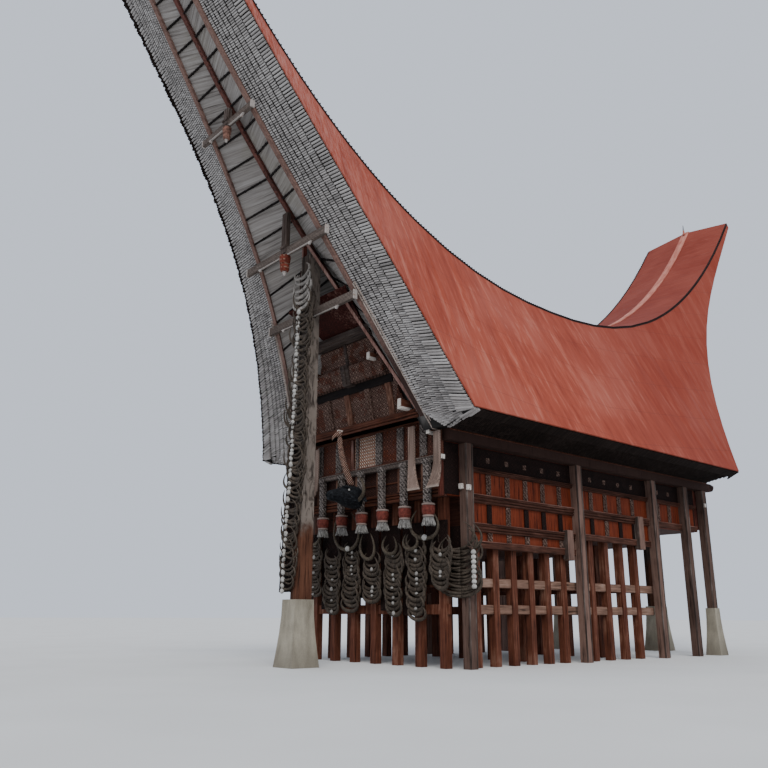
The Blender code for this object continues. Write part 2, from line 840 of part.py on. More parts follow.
def make_floors():
    """Three floors in rising steps and the higher floor of the front bay, with a riser at each step."""
    timber = make_material("floor timber", RED_TIMBER, 0.8)
    half = WALL_HALF - WALL_THICK - GAP
    bay_in = -BAY_D + RISER
    floors = (
        ("floor_front", bay_in + GAP, POST_2_Y - GAP, FLOOR_FRONT_Z, None),
        ("floor_middle", POST_2_Y, POST_3_Y - GAP, FLOOR_MIDDLE_Z, FLOOR_FRONT_Z),
        ("floor_rear", POST_3_Y, FACADE_D - WALL_THICK - GAP, FLOOR_REAR_Z, FLOOR_MIDDLE_Z),
        ("floor_front_bay", -FACADE_D + WALL_THICK + GAP, bay_in, BAY_BOTTOM, FLOOR_FRONT_Z),
    )
    for name, start, end, z, riser_from in floors:
        floor = box(name, (-half, half), (start, end), (z, z + FLOOR_THICK), timber)
        if riser_from is not None:
            depth = (start, start + RISER) if name != "floor_front_bay" else (-BAY_D, end)
            fuse(floor, box(f"riser {name}", (-half, half), depth, (riser_from, z + FLOOR_THICK / 2), timber))


def make_underframes():
    """Rows of piers with two rails through them: along both sides, and across between these."""
    timber = make_material("pier timber", RED_TIMBER, 0.8)
    rail_levels = [
        (z - THROUGH_RAIL_HEIGHT / 2, z + THROUGH_RAIL_HEIGHT / 2) for z in (RAIL_LOW_Z, RAIL_HIGH_Z)
    ]
    front = [FRONT_PIER_Y + FRONT_PIER_SPACING * i for i in range(FRONT_PIERS)]
    middle = [MIDDLE_PIER_Y + MIDDLE_PIER_SPACING * i for i in range(MIDDLE_PIERS)]
    start = front[0] - PIER
    finish = POST_3_Y
    for side, word in ((1, "right"), (-1, "left")):
        x = side * PIER_X
        across = (x - PIER / 2, x + PIER / 2)
        piers = [(across, (y - PIER / 2, y + PIER / 2), (0, FLOOR_FRONT_Z - GAP)) for y in front]
        piers += [(across, (y - PIER / 2, y + PIER / 2), (0, FLOOR_MIDDLE_Z - GAP)) for y in middle]
        row = boxes(f"underframe_{word}", piers, timber)
        rail_x = (x - THROUGH_RAIL_DEPTH / 2, x + THROUGH_RAIL_DEPTH / 2)
        rails = [(rail_x, (start, finish), level) for level in rail_levels]
        fuse(row, boxes(f"rails {word}", rails, timber))
    reach = PIER_X - PIER / 2 - GAP
    cross_rows = (
        ("front", -FACADE_PIER_D, FACADE_BAYS, FACADE_SPACING, BAY_BOTTOM),
        ("middle", CROSS_MIDDLE_Y, CROSS_PIERS, CROSS_PIER_SPACING, FLOOR_FRONT_Z),
        ("rear", CROSS_REAR_Y, CROSS_PIERS, CROSS_PIER_SPACING, FLOOR_MIDDLE_Z),
    )
    for word, y, count, spacing, floor_z in cross_rows:
        piers = []
        for i in range(count):
            x = spacing * (i - (count - 1) / 2)
            across = (x - PIER / 2, x + PIER / 2)
            piers.append((across, (y - PIER / 2, y + PIER / 2), (0, floor_z - GAP)))
        row = boxes(f"underframe_cross_{word}", piers, timber)
        rail_y = (y - THROUGH_RAIL_DEPTH / 2, y + THROUGH_RAIL_DEPTH / 2)
        rails = [((-reach, reach), rail_y, level) for level in rail_levels]
        fuse(row, boxes(f"cross rails {word}", rails, timber))


# Facade carvings


def facade_places(spacing):
    """X of each hanging post on the facade, or of each pier with horns under it."""
    return [spacing * (i - (FACADE_BAYS - 1) / 2) for i in range(FACADE_BAYS)]


def rail_face():
    """Front of the facade's carved rail, with the gap of what stands against it."""
    return -FACADE_D - HANGER_RAIL_DEPTH - GAP * 2


def hanger_face():
    """Front of the hanging posts, which cross the front of the rail."""
    return -FACADE_D - GAP - HANGER_RAIL_DEPTH - HANGER_DEPTH / 2


def make_hangers():
    """Carved rail across the facade, with hanging posts that end in a pot and a fringe."""
    grey = make_material("carved rail", GREY_TIMBER, 0.8)
    back = -FACADE_D - GAP
    rail = box(
        "facade_hanging_posts",
        (-HANGER_RAIL_HALF, HANGER_RAIL_HALF),
        (back - HANGER_RAIL_DEPTH, back),
        (HANGER_RAIL_Z, HANGER_RAIL_Z + HANGER_RAIL_HEIGHT),
        grey,
    )
    front = hanger_face()
    pot_bottom = HANGER_BOTTOM - POT_HEIGHT
    profile = (
        (POT_RADIUS * 0.7, HANGER_BOTTOM + POT_HEIGHT * 0.1),
        (POT_RADIUS, HANGER_BOTTOM - POT_HEIGHT * 0.05),
        (POT_RADIUS * 0.75, pot_bottom),
        (POT_RADIUS * 0.75, pot_bottom - FRINGE_HEIGHT * 0.2),
        (POT_RADIUS * 0.95, pot_bottom - FRINGE_HEIGHT),
    )
    posts = []
    for x in facade_places(HANGER_SPACING):
        across = (x - HANGER_WIDTH / 2, x + HANGER_WIDTH / 2)
        depth = (front, front + HANGER_DEPTH)
        posts.append((across, depth, (HANGER_BOTTOM, HANGER_RAIL_Z + HANGER_RAIL_HEIGHT / 2)))
    fuse(rail, boxes("hanging posts", posts, grey))
    for i, x in enumerate(facade_places(HANGER_SPACING)):
        fuse(rail, turned(f"pot {i + 1}", profile, (x, front + HANGER_DEPTH * 0.8), grey, 8))


def make_ear_planks():
    """Two planks at each end of the facade, against its rail, whose lower ends sweep forward."""
    brown = make_material("ear planks", GREY_TIMBER, 0.8)
    places = (
        ("inner", EAR_INNER_X, EAR_INNER_FOOT_X, EAR_INNER_TOP),
        ("outer", EAR_OUTER_X, EAR_OUTER_FOOT_X, EAR_OUTER_TOP),
    )
    for side, word in ((1, "right"), (-1, "left")):
        for name, x_top, x_foot, top in places:
            sections = []
            for step in range(EAR_STEPS + 1):
                share = step / EAR_STEPS
                z = top + (EAR_BOTTOM - top) * share
                below = max(0.0, (HANGER_RAIL_Z - z) / (HANGER_RAIL_Z - EAR_BOTTOM))
                x = side * (x_top + (x_foot - x_top) * below**2)
                half = EAR_TOP_HALF + (EAR_FOOT_HALF - EAR_TOP_HALF) * below
                y = rail_face() - EAR_REACH * below**2
                corners = ((-half, 0), (half, 0), (half, -EAR_THICK), (-half, -EAR_THICK))
                sections.append([(x + dx, y + dy, z) for dx, dy in corners])
            loft(f"ear_plank_{word}_{name}", sections, brown)


def make_bird():
    """Long bird neck and head that rises from the top of the buffalo head."""
    carved = make_material("carved bird", GREY_TIMBER, 0.8)
    half = BIRD_THICK * 0.6
    foot_y = hanger_face() - BIRD_FOOT_FORWARD
    sections = []
    for step in range(BIRD_STEPS + 1):
        share = step / BIRD_STEPS
        deep = BIRD_THICK * (1.0 - 0.35 * share)
        y = foot_y - BIRD_REACH * math.sin(share * math.pi / 2)
        z = HEAD_TOP + GAP + BIRD_HEIGHT * share
        corners = ((-half, -deep), (half, -deep), (half, deep), (-half, deep))
        sections.append([(x, y + along, z) for x, along in corners])
    neck = loft("bird_neck", sections, carved)
    head = []
    for along, wide, low, high in BIRD_HEAD:
        corners = ((-wide, low), (wide, low), (wide, high), (-wide, high))
        head.append([(x, y + along, z + rise) for x, rise in corners])
    fuse(neck, loft("beak", head, carved))


def crescent(name, centre, half, band, thick, lift, material):
    """A pair of horns as a flat half ring that opens upward, in a plane across the house."""
    x0, y0, z0 = centre
    outer = []
    inner = []
    inner_half = half - band
    inner_lift = lift - band * 0.4
    for i in range(HORN_ARC_STEPS + 1):
        angle = math.pi * (1 + i / HORN_ARC_STEPS)
        across = math.cos(angle)
        rise = 1 + math.sin(angle)
        outer.append((x0 + half * across, z0 + lift * rise))
        inner.append((x0 + inner_half * across, z0 + band + inner_lift * rise))
    outline = outer + list(reversed(inner))
    return prism(name, outline, "Y", y0, y0 - thick, material)


def make_buffalo_head():
    """Buffalo head against the middle hanging post, with a flat top between its second and third sections."""
    black = make_material("buffalo head", BLACK_TIMBER, 0.6)
    back = hanger_face() - GAP
    sections = []
    for forward, half, low, high in HEAD_FORM:
        middle = HEAD_TOP + (low + high) / 2
        ring = []
        for i in range(8):
            angle = math.pi / 8 + math.pi / 4 * i
            x = half * math.cos(angle) / math.cos(math.pi / 8)
            z = middle + (high - low) / 2 * math.sin(angle) / math.cos(math.pi / 8)
            ring.append((x, back - forward, z))
        sections.append(ring)
    head = loft("buffalo_head", sections, black)
    place = (0, back - HEAD_FORM[1][0], HEAD_TOP - HEAD_HORN_SINK)
    size = (HEAD_HORN_HALF, HORN_BAND, HEAD_HORN_THICK, HEAD_HORN_LIFT)
    fuse(head, crescent("head horns", place, *size, black))


# Horn stacks


def horn_stack(name, x, y, bottom, top, half, pitch, material):
    """Pairs of horns one above another on a pole. y is the pole's rear face."""
    pole = box(
        name,
        (x - STACK_POLE / 2, x + STACK_POLE / 2),
        (y - STACK_POLE, y),
        (bottom, top),
        material,
    )
    count = int((top - bottom - half) / pitch)
    helpers = []
    for i in range(count):
        centre = (x, y - STACK_POLE / 2, bottom + pitch * (i + 0.2))
        name_i = f"{name} horn {i + 1}"
        helpers.append(crescent(name_i, centre, half, HORN_BAND, STACK_POLE, half * 0.8, material))
    return fuse(pole, *helpers)


def make_horn_stacks():
    horn = make_material("horns", HORN, 0.7)
    face = -FACADE_PIER_D - PIER / 2 - GAP
    for i, x in enumerate(facade_places(FACADE_SPACING)):
        low = STACK_BOTTOM - STACK_STAGGER * (i % 2)
        horn_stack(f"horn_stack_{i + 1}", x, face, low, STACK_TOP, HORN_HALF, HORN_PITCH, horn)
    y = -CENTRE_POST_D - CENTRE_POST_DEPTH / 2 - GAP
    bottom, top = POST_HORNS_BOTTOM, POST_HORNS_TOP
    horn_stack("horn_stack_centre_post", 0, y, bottom, top, POST_HORN_HALF, POST_HORN_PITCH, horn)


def main():
    clear_scene()
    make_roof()
    make_roof_timbers()
    make_ties()
    make_centre_posts()
    make_side_frames()
    make_side_walls()
    make_end_walls()
    make_gables()
    make_apex_boards()
    make_floors()
    make_underframes()
    make_hangers()
    make_ear_planks()
    make_bird()
    make_buffalo_head()
    make_horn_stacks()


main()
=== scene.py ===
"""Looks of the tongkonan house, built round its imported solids.

Metres, in the frame of the solids: +X is the right side, +Y runs to the rear, and Z = 0 is the ground.
d is the distance from the middle of the house along Y. The rear end repeats the front one.
"""

import math
import random

import bpy
import numpy as np
from mathutils import Matrix, Vector


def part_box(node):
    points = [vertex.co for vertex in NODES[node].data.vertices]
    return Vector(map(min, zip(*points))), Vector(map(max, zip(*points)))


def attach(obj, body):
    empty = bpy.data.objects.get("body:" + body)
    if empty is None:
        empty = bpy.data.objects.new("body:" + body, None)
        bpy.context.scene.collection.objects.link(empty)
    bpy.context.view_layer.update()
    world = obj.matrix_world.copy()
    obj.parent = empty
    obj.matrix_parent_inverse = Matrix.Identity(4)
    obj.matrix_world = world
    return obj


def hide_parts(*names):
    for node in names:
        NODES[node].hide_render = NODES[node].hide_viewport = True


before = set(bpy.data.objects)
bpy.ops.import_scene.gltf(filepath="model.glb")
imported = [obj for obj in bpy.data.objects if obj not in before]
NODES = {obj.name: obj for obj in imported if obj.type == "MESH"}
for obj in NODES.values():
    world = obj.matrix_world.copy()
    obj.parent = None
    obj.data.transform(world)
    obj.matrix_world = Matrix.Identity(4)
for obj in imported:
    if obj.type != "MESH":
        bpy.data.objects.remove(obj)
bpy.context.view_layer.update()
SIDES = ((1, "right"), (-1, "left"))
ENDS = ((-1, "front"), (1, "rear"))
UP = Vector((0, 0, 1))
draw = random.Random(7)

# Body of the house, as the solids have it: faces as places along X or Y, and heights
WALL = 2.32
WALL_TOP = 4.17
FACADE = 4.72
POST_OUT = 2.5103
RAIL_FRONT = -4.8406
HORN_STACK_BACK = -4.4803
CENTRE_POST_FRONT = -6.4503
PLANK_FOOT, PLANK_BEND = 3.24, 3.80
GABLE_FOOT, GABLE_FOOT_OUT = 4.755, 4.90
GABLE_HEAD, GABLE_HEAD_OUT = 6.66, 5.32
FACADE_SPACING = 0.665
PILASTERS = (-2.21, -1.58, -0.90, -0.23, 0.46, 1.125, 1.80, 2.22)

# Roof form, as the solids have it
ROOF_END = 10.70
CREASE_HALF, CREASE_LOW, CREASE_RISE = 1.55, 8.28, 6.20
EAVE_HALF, EAVE_Z, EAVE_END = 3.50, 4.59, 5.06
RAIL_HALF, RAIL_SPREAD, RAIL_END, RAIL_FADE = 0.45, 1.73, 4.95, 2.40
RAIL_WIDE, RAIL_HIGH = 0.05, 0.055
WIDTH_POWER = 1.15

# Steps of the bamboo layers from the outer edge in, and the places along the roof where its facets meet
LAYERS = (0.0, 0.26, 0.43, 0.565, 0.69, 0.80, 0.90, 1.0)
STATIONS = [4.64 * i / 5 for i in range(6)] + [RAIL_END]
STATIONS += [EAVE_END + 5.64 * (i / 14) ** 1.6 for i in range(15)]


def crease_z(d):
    """Height of the crease between the sheet's slope and its top band."""
    return CREASE_LOW + CREASE_RISE * (abs(d) / ROOF_END) ** 2.3


def verge(d):
    """Half width and height of the roof's outer edge."""
    if abs(d) <= EAVE_END:
        return EAVE_HALF, EAVE_Z
    left = math.exp(-(abs(d) - EAVE_END) / 1.78)
    half = CREASE_HALF + (EAVE_HALF - CREASE_HALF) * left**WIDTH_POWER
    return half, crease_z(d) - (crease_z(EAVE_END) - EAVE_Z) * left


def rail_centre(d):
    """Half width and height of the middle of the verge rail."""
    left = math.exp(-(abs(d) - RAIL_END) / RAIL_FADE)
    return RAIL_HALF + RAIL_SPREAD * left**WIDTH_POWER, crease_z(d) - 4.90 * left


def soffit_z(d):
    """Height of the soffit along the ridge beam."""
    return crease_z(d) - 0.30 - 1.85 * min(1.0, (ROOF_END - abs(d)) / 6.10) ** 1.3


def seat(d):
    """Half width and height of the place that the innermost layer rests on."""
    if abs(d) <= RAIL_END:
        return 2.60, 4.40
    half, z = rail_centre(d)
    return half + RAIL_WIDE, z + RAIL_HIGH


def riser_ends(d):
    """Outer and inner end of each row of culms at one place, and the direction down the slope."""
    half, z = verge(d)
    run = Vector((half - CREASE_HALF, z - crease_z(d))).normalized()
    inner = Vector((run.y, -run.x))
    edge = Vector((half, z)) + 0.0303 * inner
    across = Vector(seat(d)) - edge
    depth, slide = across.dot(inner), across.dot(run)
    ends = []
    for above, here in zip(LAYERS[:-1], LAYERS[1:]):
        set_in = slide * above * run
        ends.append((edge + depth * above * inner + set_in, edge + depth * here * inner + set_in))
    return ends, run


RISERS = np.array([[[list(p) for p in pair] for pair in riser_ends(d)[0]] for d in STATIONS])


def riser(d, row, end):
    """One end of a row of culms, on the straight facets between the roof's stations, as (x, z)."""
    return [float(np.interp(abs(d), STATIONS, RISERS[:, row, end, k])) for k in (0, 1)]


# Shaping by operators


def deselect():
    bpy.ops.object.select_all(action="DESELECT")


def pick(*objects):
    deselect()
    for obj in objects:
        obj.select_set(True)
    bpy.context.view_layer.objects.active = objects[-1]


def settle(obj, name):
    """Names a new object and moves its place and size into its mesh."""
    pick(obj)
    bpy.ops.object.transform_apply(location=True, rotation=True, scale=True)
    obj.name = name
    obj.data.name = name
    return obj


def primitive(add, name, scale=(1, 1, 1), **settings):
    """One of Blender's starting forms, with its place and size in its mesh."""
    deselect()
    add(**settings)
    bpy.context.object.scale = scale
    return settle(bpy.context.object, name)


def begin_edit(obj):
    """Opens one object for editing, with its whole mesh selected."""
    pick(obj)
    bpy.ops.object.mode_set(mode="EDIT")
    bpy.ops.mesh.select_all(action="SELECT")


def begin_face_edit(obj, wanted):
    """Opens one object for editing, with only the faces selected that pass a test."""
    begin_edit(obj)
    bpy.ops.mesh.select_mode(type="FACE")
    bpy.ops.mesh.select_all(action="DESELECT")
    bpy.ops.object.mode_set(mode="OBJECT")
    for face in obj.data.polygons:
        face.select = wanted(face)
    bpy.ops.object.mode_set(mode="EDIT")


def end_edit(merge=False, bevel=0.0):
    """Merges doubled points if wanted, turns all faces outward, takes the edges off and closes the edit."""
    bpy.ops.mesh.select_all(action="SELECT")
    if merge:
        bpy.ops.mesh.remove_doubles(threshold=0.0005)
    bpy.ops.mesh.normals_make_consistent(inside=False)
    if bevel:
        bpy.ops.mesh.bevel(offset=bevel, segments=1, affect="EDGES")
    bpy.ops.object.mode_set(mode="OBJECT")


def block(name, low, high, bevel):
    """A squared timber between two corners, with its edges taken off."""
    size = [abs(b - a) for a, b in zip(low, high)]
    centre = [(a + b) / 2 for a, b in zip(low, high)]
    obj = primitive(bpy.ops.mesh.primitive_cube_add, name, size, size=1, location=centre)
    begin_edit(obj)
    end_edit(bevel=min(bevel, min(size) * 0.4))
    return obj


def from_points(name, points, edges, faces=()):
    mesh = bpy.data.meshes.new(name)
    mesh.from_pydata([tuple(p) for p in points], edges, faces)
    obj = bpy.data.objects.new(name, mesh)
    bpy.context.scene.collection.objects.link(obj)
    return obj


def slab(name, outline, axis, start, finish, bevel=0.0):
    """A board cut to an outline and extruded. The outline is (y, z) for axis X and (x, z) for axis Y."""
    along_x = axis == "X"
    points = [(start, a, b) if along_x else (a, start, b) for a, b in outline]
    obj = from_points(name, points, (), [list(range(len(outline)))])
    step = (finish - start, 0, 0) if along_x else (0, finish - start, 0)
    begin_edit(obj)
    bpy.ops.mesh.extrude_region_move(TRANSFORM_OT_translate={"value": step})
    end_edit(bevel=bevel)
    return obj


def turned(name, profile, x, y, sides=20):
    """A turned piece: a profile of (radius, z) spun round an upright line."""
    points = [(x + r, y, z) for r, z in profile]
    obj = from_points(name, points, [(i, i + 1) for i in range(len(points) - 1)])
    begin_edit(obj)
    bpy.ops.mesh.spin(steps=sides, angle=math.tau, center=(x, y, 0), axis=(0, 0, 1))
    end_edit(merge=True)
    return smooth(obj)


def tube(name, points, radii, resolution=1):
    """A round piece that tapers along a path."""
    curve = bpy.data.curves.new(name, "CURVE")
    curve.dimensions = "3D"
    curve.bevel_depth = 1.0
    curve.bevel_resolution = resolution
    curve.use_fill_caps = True
    spline = curve.splines.new("POLY")
    spline.points.add(len(points) - 1)
    for point, place, radius in zip(spline.points, points, radii):
        point.co = (*place, 1)
        point.radius = radius
    obj = bpy.data.objects.new(name, curve)
    bpy.context.scene.collection.objects.link(obj)
    pick(obj)
    bpy.ops.object.convert(target="MESH")
    obj = bpy.context.object
    begin_edit(obj)
    end_edit(merge=True)
    return smooth(obj)


def loft(name, rings, subdivide=0, angle=40):
    """Skins rings of points, closes the ends and smooths the whole."""
    count, last = len(rings[0]), len(rings) - 1
    points = [p for ring in rings for p in ring]
    faces = []
    for i in range(last):
        for j in range(count):
            k = (j + 1) % count
            faces.append((i * count + j, i * count + k, (i + 1) * count + k, (i + 1) * count + j))
    faces += [tuple(range(count)), tuple(last * count + j for j in reversed(range(count)))]
    obj = from_points(name, points, (), faces)
    begin_edit(obj)
    end_edit()
    if subdivide:
        modifier = obj.modifiers.new("Subdivision", "SUBSURF")
        modifier.levels = modifier.render_levels = subdivide
        bpy.ops.object.modifier_apply(modifier=modifier.name)
    return smooth(obj, angle)


def smooth(obj, angle=35):
    pick(obj)
    bpy.ops.object.shade_smooth_by_angle(angle=math.radians(angle))
    return obj


def joined(name, parts):
    """One piece of several parts."""
    pick(*parts)
    if len(parts) > 1:
        bpy.ops.object.join()
    obj = bpy.context.object
    obj.name = name
    obj.data.name = name
    return obj


def copies(name, model, places):
    """One piece made of a copy of the model at each place, each with its own tint. The model itself goes."""
    mesh = model.data
    base = np.array([v.co for v in mesh.vertices])
    outlines = [tuple(p.vertices) for p in mesh.polygons]
    smooth_faces = [p.use_smooth for p in mesh.polygons]
    points, faces = [], []
    for place in places:
        rotation, offset = np.array(place.to_3x3()), np.array(place.translation)
        start = len(base) * len(points)
        points.append(base @ rotation.T + offset)
        flip = -1 if place.to_3x3().determinant() < 0 else 1
        faces.extend(tuple(start + i for i in outline[::flip]) for outline in outlines)
    obj = from_points(name, np.concatenate(points).tolist(), (), faces)
    obj.data.polygons.foreach_set("use_smooth", smooth_faces * len(places))
    tint = obj.data.attributes.new("tint", "FLOAT", "POINT")
    tints = [draw.random() for _ in places]
    tint.data.foreach_set("value", np.repeat(tints, len(base)).astype(np.float32))
    for material in mesh.materials:
        obj.data.materials.append(material)
    bpy.data.objects.remove(model)
    return obj


# Places


def shift(*offset):
    return Matrix.Translation(offset)


def turn(angle, axis):
    return Matrix.Rotation(angle, 4, axis)


def sized(*factors):
    return Matrix.Diagonal((*factors, 1))


def bar_place(start, finish, outward, radius):
    """Place of a unit bar, from (0, 0, 0) to (0, 0, 1), that runs between two points."""
    start, finish = Vector(start), Vector(finish)
    along = finish - start
    axis = along.normalized()
    side = axis.cross(Vector(outward)).normalized()
    face = side.cross(axis)
    basis = Matrix((face * radius, side * radius, along)).transposed()
    return shift(*start) @ basis.to_4x4()


# Materials


class Value:
    """A socket in a material. Sums and products of values add Math nodes."""

    def __init__(self, paint, socket):
        self.paint, self.socket = paint, socket

    def math(self, operation, *others):
        return self.paint.node("ShaderNodeMath", {"operation": operation}, [self, *others])

    def __add__(self, other):
        return self.math("ADD", other)

    __radd__ = __add__

    def __mul__(self, other):
        return self.math("MULTIPLY", other)

    __rmul__ = __mul__

    def __sub__(self, other):
        return self.math("SUBTRACT", other)

    def __rsub__(self, other):
        return self.paint.node("ShaderNodeMath", {"operation": "SUBTRACT"}, [other, self])

    def __truediv__(self, other):
        return self.math("DIVIDE", other)

    def __gt__(self, other):
        return self.math("GREATER_THAN", other)

    def size(self):
        return self.math("ABSOLUTE")

    def step(self, low, high):
        """0 below low, 1 above high, and smooth between them."""
        values = {"Value": self, "From Min": low, "From Max": high}
        return self.paint.node("ShaderNodeMapRange", {"interpolation_type": "SMOOTHSTEP"}, values)


class Paint:
    """A material, built node by node round its Principled shader."""

    def __init__(self, name):
        self.material = bpy.data.materials.new(name)
        self.material.use_nodes = True
        self.tree = self.material.node_tree
        self.shader = self.tree.nodes["Principled BSDF"]
        self.place = self.node("ShaderNodeTexCoord", output="Object")
        self.x, self.y, self.z = self.parts(self.place)

    def node(self, kind, settings=(), values=(), output=0):
        """Adds a node: its settings first, then the values or links of its sockets."""
        node = self.tree.nodes.new(kind)
        for key, value in dict(settings).items():
            if key == "stops":
                elements = node.color_ramp.elements
                elements.remove(elements[-1])
                elements[0].position, elements[0].color = value[0][0], (*value[0][1], 1)
                for at, colour in value[1:]:
                    elements.new(at).color = (*colour, 1)
            else:
                setattr(node, key, value)
        for key, value in values.items() if isinstance(values, dict) else enumerate(values):
            self.feed(node, key, value)
        return Value(self, node.outputs[output])

    def feed(self, node, key, value):
        """Gives an input of a node another node's value, or a plain one."""
        if isinstance(value, Value):
            self.tree.links.new(value.socket, node.inputs[key])
        else:
            node.inputs[key].default_value = value

    def parts(self, vector):
        """The three numbers of a vector."""
        first = self.node("ShaderNodeSeparateXYZ", (), [vector])
        return [Value(self, output) for output in first.socket.node.outputs]

    def stretched(self, factors):
        return self.node("ShaderNodeVectorMath", {"operation": "MULTIPLY"}, [self.place, factors])

    def vector(self, x, y, z):
        return self.node("ShaderNodeCombineXYZ", (), [x, y, z])

    def noise(self, vector, scale, detail, roughness=0.55, distortion=0.0):
        values = {"Vector": vector, "Scale": scale, "Detail": detail, "Roughness": roughness}
        values["Distortion"] = distortion
        return self.node("ShaderNodeTexNoise", (), values)

    def ramp(self, value, *stops):
        """A colour for each value. A stop is a value and its colour."""
        return self.node("ShaderNodeValToRGB", {"stops": stops}, [value])

    def mix(self, share, first, second):
        """The first colour where the share is 0, and the second where it is 1."""
        colours = [c if isinstance(c, Value) else (*c, 1) for c in (first, second)]
        values = {0: share, 6: colours[0], 7: colours[1]}
        return self.node("ShaderNodeMix", {"data_type": "RGBA"}, values, 2)

    def finish(self, colour, roughness, height, depth):
        bump = self.node("ShaderNodeBump", (), {"Strength": 1.0, "Distance": depth, "Height": height})
        self.feed(self.shader, "Base Color", colour)
        self.feed(self.shader, "Roughness", roughness)
        self.feed(self.shader, "Specular IOR Level", 0.12)
        self.feed(self.shader, "Normal", bump)
        return self.material


BLACK_LINE = (0.012, 0.008, 0.007)
RED_TONES = ((0.20, 0.030, 0.014), (0.29, 0.058, 0.032), (0.46, 0.17, 0.12))
TOP_TONES = ((0.14, 0.022, 0.012), (0.22, 0.042, 0.024), (0.32, 0.09, 0.06))
ALONG = {"X": (0.06, 1, 1), "Y": (1, 0.06, 1), "Z": (1, 1, 0.06)}


def grain_of(paint, along):
    """Fine streaks along a timber, and broad patches over it."""
    stretched = paint.stretched(ALONG[along])
    streaks = paint.noise(stretched, 26, 5, 0.6)
    fibres = paint.noise(stretched, 95, 2, 0.6)
    patches = paint.noise(paint.place, 1.7, 4, 0.6)
    return streaks, fibres, patches


def timber(name, dark, light, along, weathered=None, amount=0.5, roughness=0.8):
    """Sawn timber: streaks along the grain, darker cracks, and bleached patches."""
    paint = Paint(name)
    streaks, fibres, patches = grain_of(paint, along)
    tone = streaks * 0.9 + fibres * 0.35 + patches * 0.45 - 0.35
    colour = paint.ramp(tone, (0.28, dark), (0.68, light))
    if weathered:
        bleached = (patches * 0.6 + streaks * 0.6).step(0.62, 0.78) * amount
        colour = paint.mix(bleached, colour, weathered)
    cracks = 1 - streaks.step(0.30, 0.40)
    colour = paint.mix(cracks * 0.75, colour, [c * 0.25 for c in dark])
    height = streaks * 0.6 + fibres * 0.4 - cracks * 0.8
    return paint.finish(colour, roughness - streaks * 0.15, height, 0.006)


def carved(name, ground, line, accent, unit, along, cover, shaded=0.0):
    """Timber cut with diamonds round small whorls, partly worn away, and darker below one height."""
    paint = Paint(name)
    streaks, fibres, patches = grain_of(paint, along)
    u = ((paint.x + paint.y) / unit).math("FRACT") - 0.5
    v = (paint.z / unit).math("FRACT") - 0.5
    radius = (u * u + v * v).math("SQRT")
    reach = u.size() + v.size()
    diamond = reach.step(0.27, 0.33) * (1 - reach.step(0.43, 0.49))
    spiral = (radius * 30 + v.math("ARCTAN2", u) * 2).math("SINE").step(0.0, 0.5)
    whorl = spiral * (1 - radius.step(0.16, 0.20))
    corner = reach.step(0.66, 0.74)
    pattern = diamond.math("MAXIMUM", whorl).math("MAXIMUM", corner)
    worn = (patches * 0.7 + streaks * 0.5).step(0.45, 0.75)
    shown = pattern * cover * (1 - worn * 0.5)
    tone = streaks * 0.8 + patches * 0.4
    base = paint.ramp(tone, (0.35, [c * 0.4 for c in ground]), (0.80, ground))
    touched = paint.noise(paint.place, 4.3, 2).step(0.52, 0.60)
    colour = paint.mix(shown, base, paint.mix(touched, line, accent))
    if shaded:
        below = 1 - paint.z.step(shaded - 0.06, shaded + 0.06)
        colour = paint.mix(below * 0.62, colour, BLACK_LINE)
    height = fibres * 0.2 - pattern * 0.8
    return paint.finish(colour, 0.85, height, 0.006)


def framed(name, ground, line, along="Z", wear=0.5):
    """Carved timber: small worn figures between dark cuts, in rows along its length."""
    paint = Paint(name)
    streaks, fibres, patches = grain_of(paint, along)
    row = ((paint.x + paint.y + paint.z) / 0.09).math("FRACT") - 0.5
    cells = paint.noise(paint.place, 38, 2, 0.5, 1.6)
    figure = (cells + (row.size() - 0.25) * 0.22).step(0.47, 0.56)
    kept = 1 - (patches * 0.6 + streaks * 0.6).step(0.52, 0.78) * wear
    base = paint.ramp(streaks * 0.8 + patches * 0.4, (0.35, [c * 0.4 for c in ground]), (0.8, ground))
    colour = paint.mix(figure * kept, base, line)
    return paint.finish(colour, 0.85, figure + fibres * 0.3, 0.006)


def sheet_paint(name, run=(0.25, 1.0, 0.12), tones=RED_TONES):
    """Faded red roofing sheet: pale runs down the slope, redder patches, and faint laps."""
    paint = Paint(name)
    slope = paint.vector(paint.x.size() * run[0], paint.y * run[1], paint.z * run[2])
    runs = paint.noise(slope, 5.2, 5, 0.62)
    fine = paint.noise(slope, 30, 3, 0.6)
    patches = paint.noise(paint.place, 0.45, 3, 0.5)
    streak = paint.noise(slope, 12, 2, 0.5).step(0.62, 0.70)
    tone = runs * 0.65 + fine * 0.15 + patches * 0.20
    colour = paint.ramp(tone, *zip((0.34, 0.52, 0.74), tones))
    colour = paint.mix(streak * patches.step(0.40, 0.60) * 0.32, colour, (0.52, 0.25, 0.19))
    colour = paint.mix(patches.step(0.46, 0.66) * 0.5, colour, (0.33, 0.085, 0.055))
    colour = paint.mix(paint.y.step(-2.0, 4.5) * 0.55, colour, (0.16, 0.022, 0.012))
    front = (-1 * paint.y).step(4.6, 8.5) * fine.step(0.40, 0.60)
    colour = paint.mix(front * 0.45, colour, (0.42, 0.20, 0.17))
    lap = ((paint.z - paint.y.size() * 0.11) / 0.92).math("FRACT")
    lap_line = lap.step(0.0, 0.012) * (1 - lap.step(0.012, 0.03))
    seam = (paint.y / 1.83).math("FRACT")
    seam_line = 1 - (seam - 0.5).size().step(0.003, 0.008)
    colour = paint.mix(lap_line * 0.30 + seam_line * 0.12, colour, (0.07, 0.015, 0.010))
    height = runs * 0.3 + lap * 0.25 + fine * 0.1
    return paint.finish(colour, 0.72 - patches * 0.15, height, 0.006)


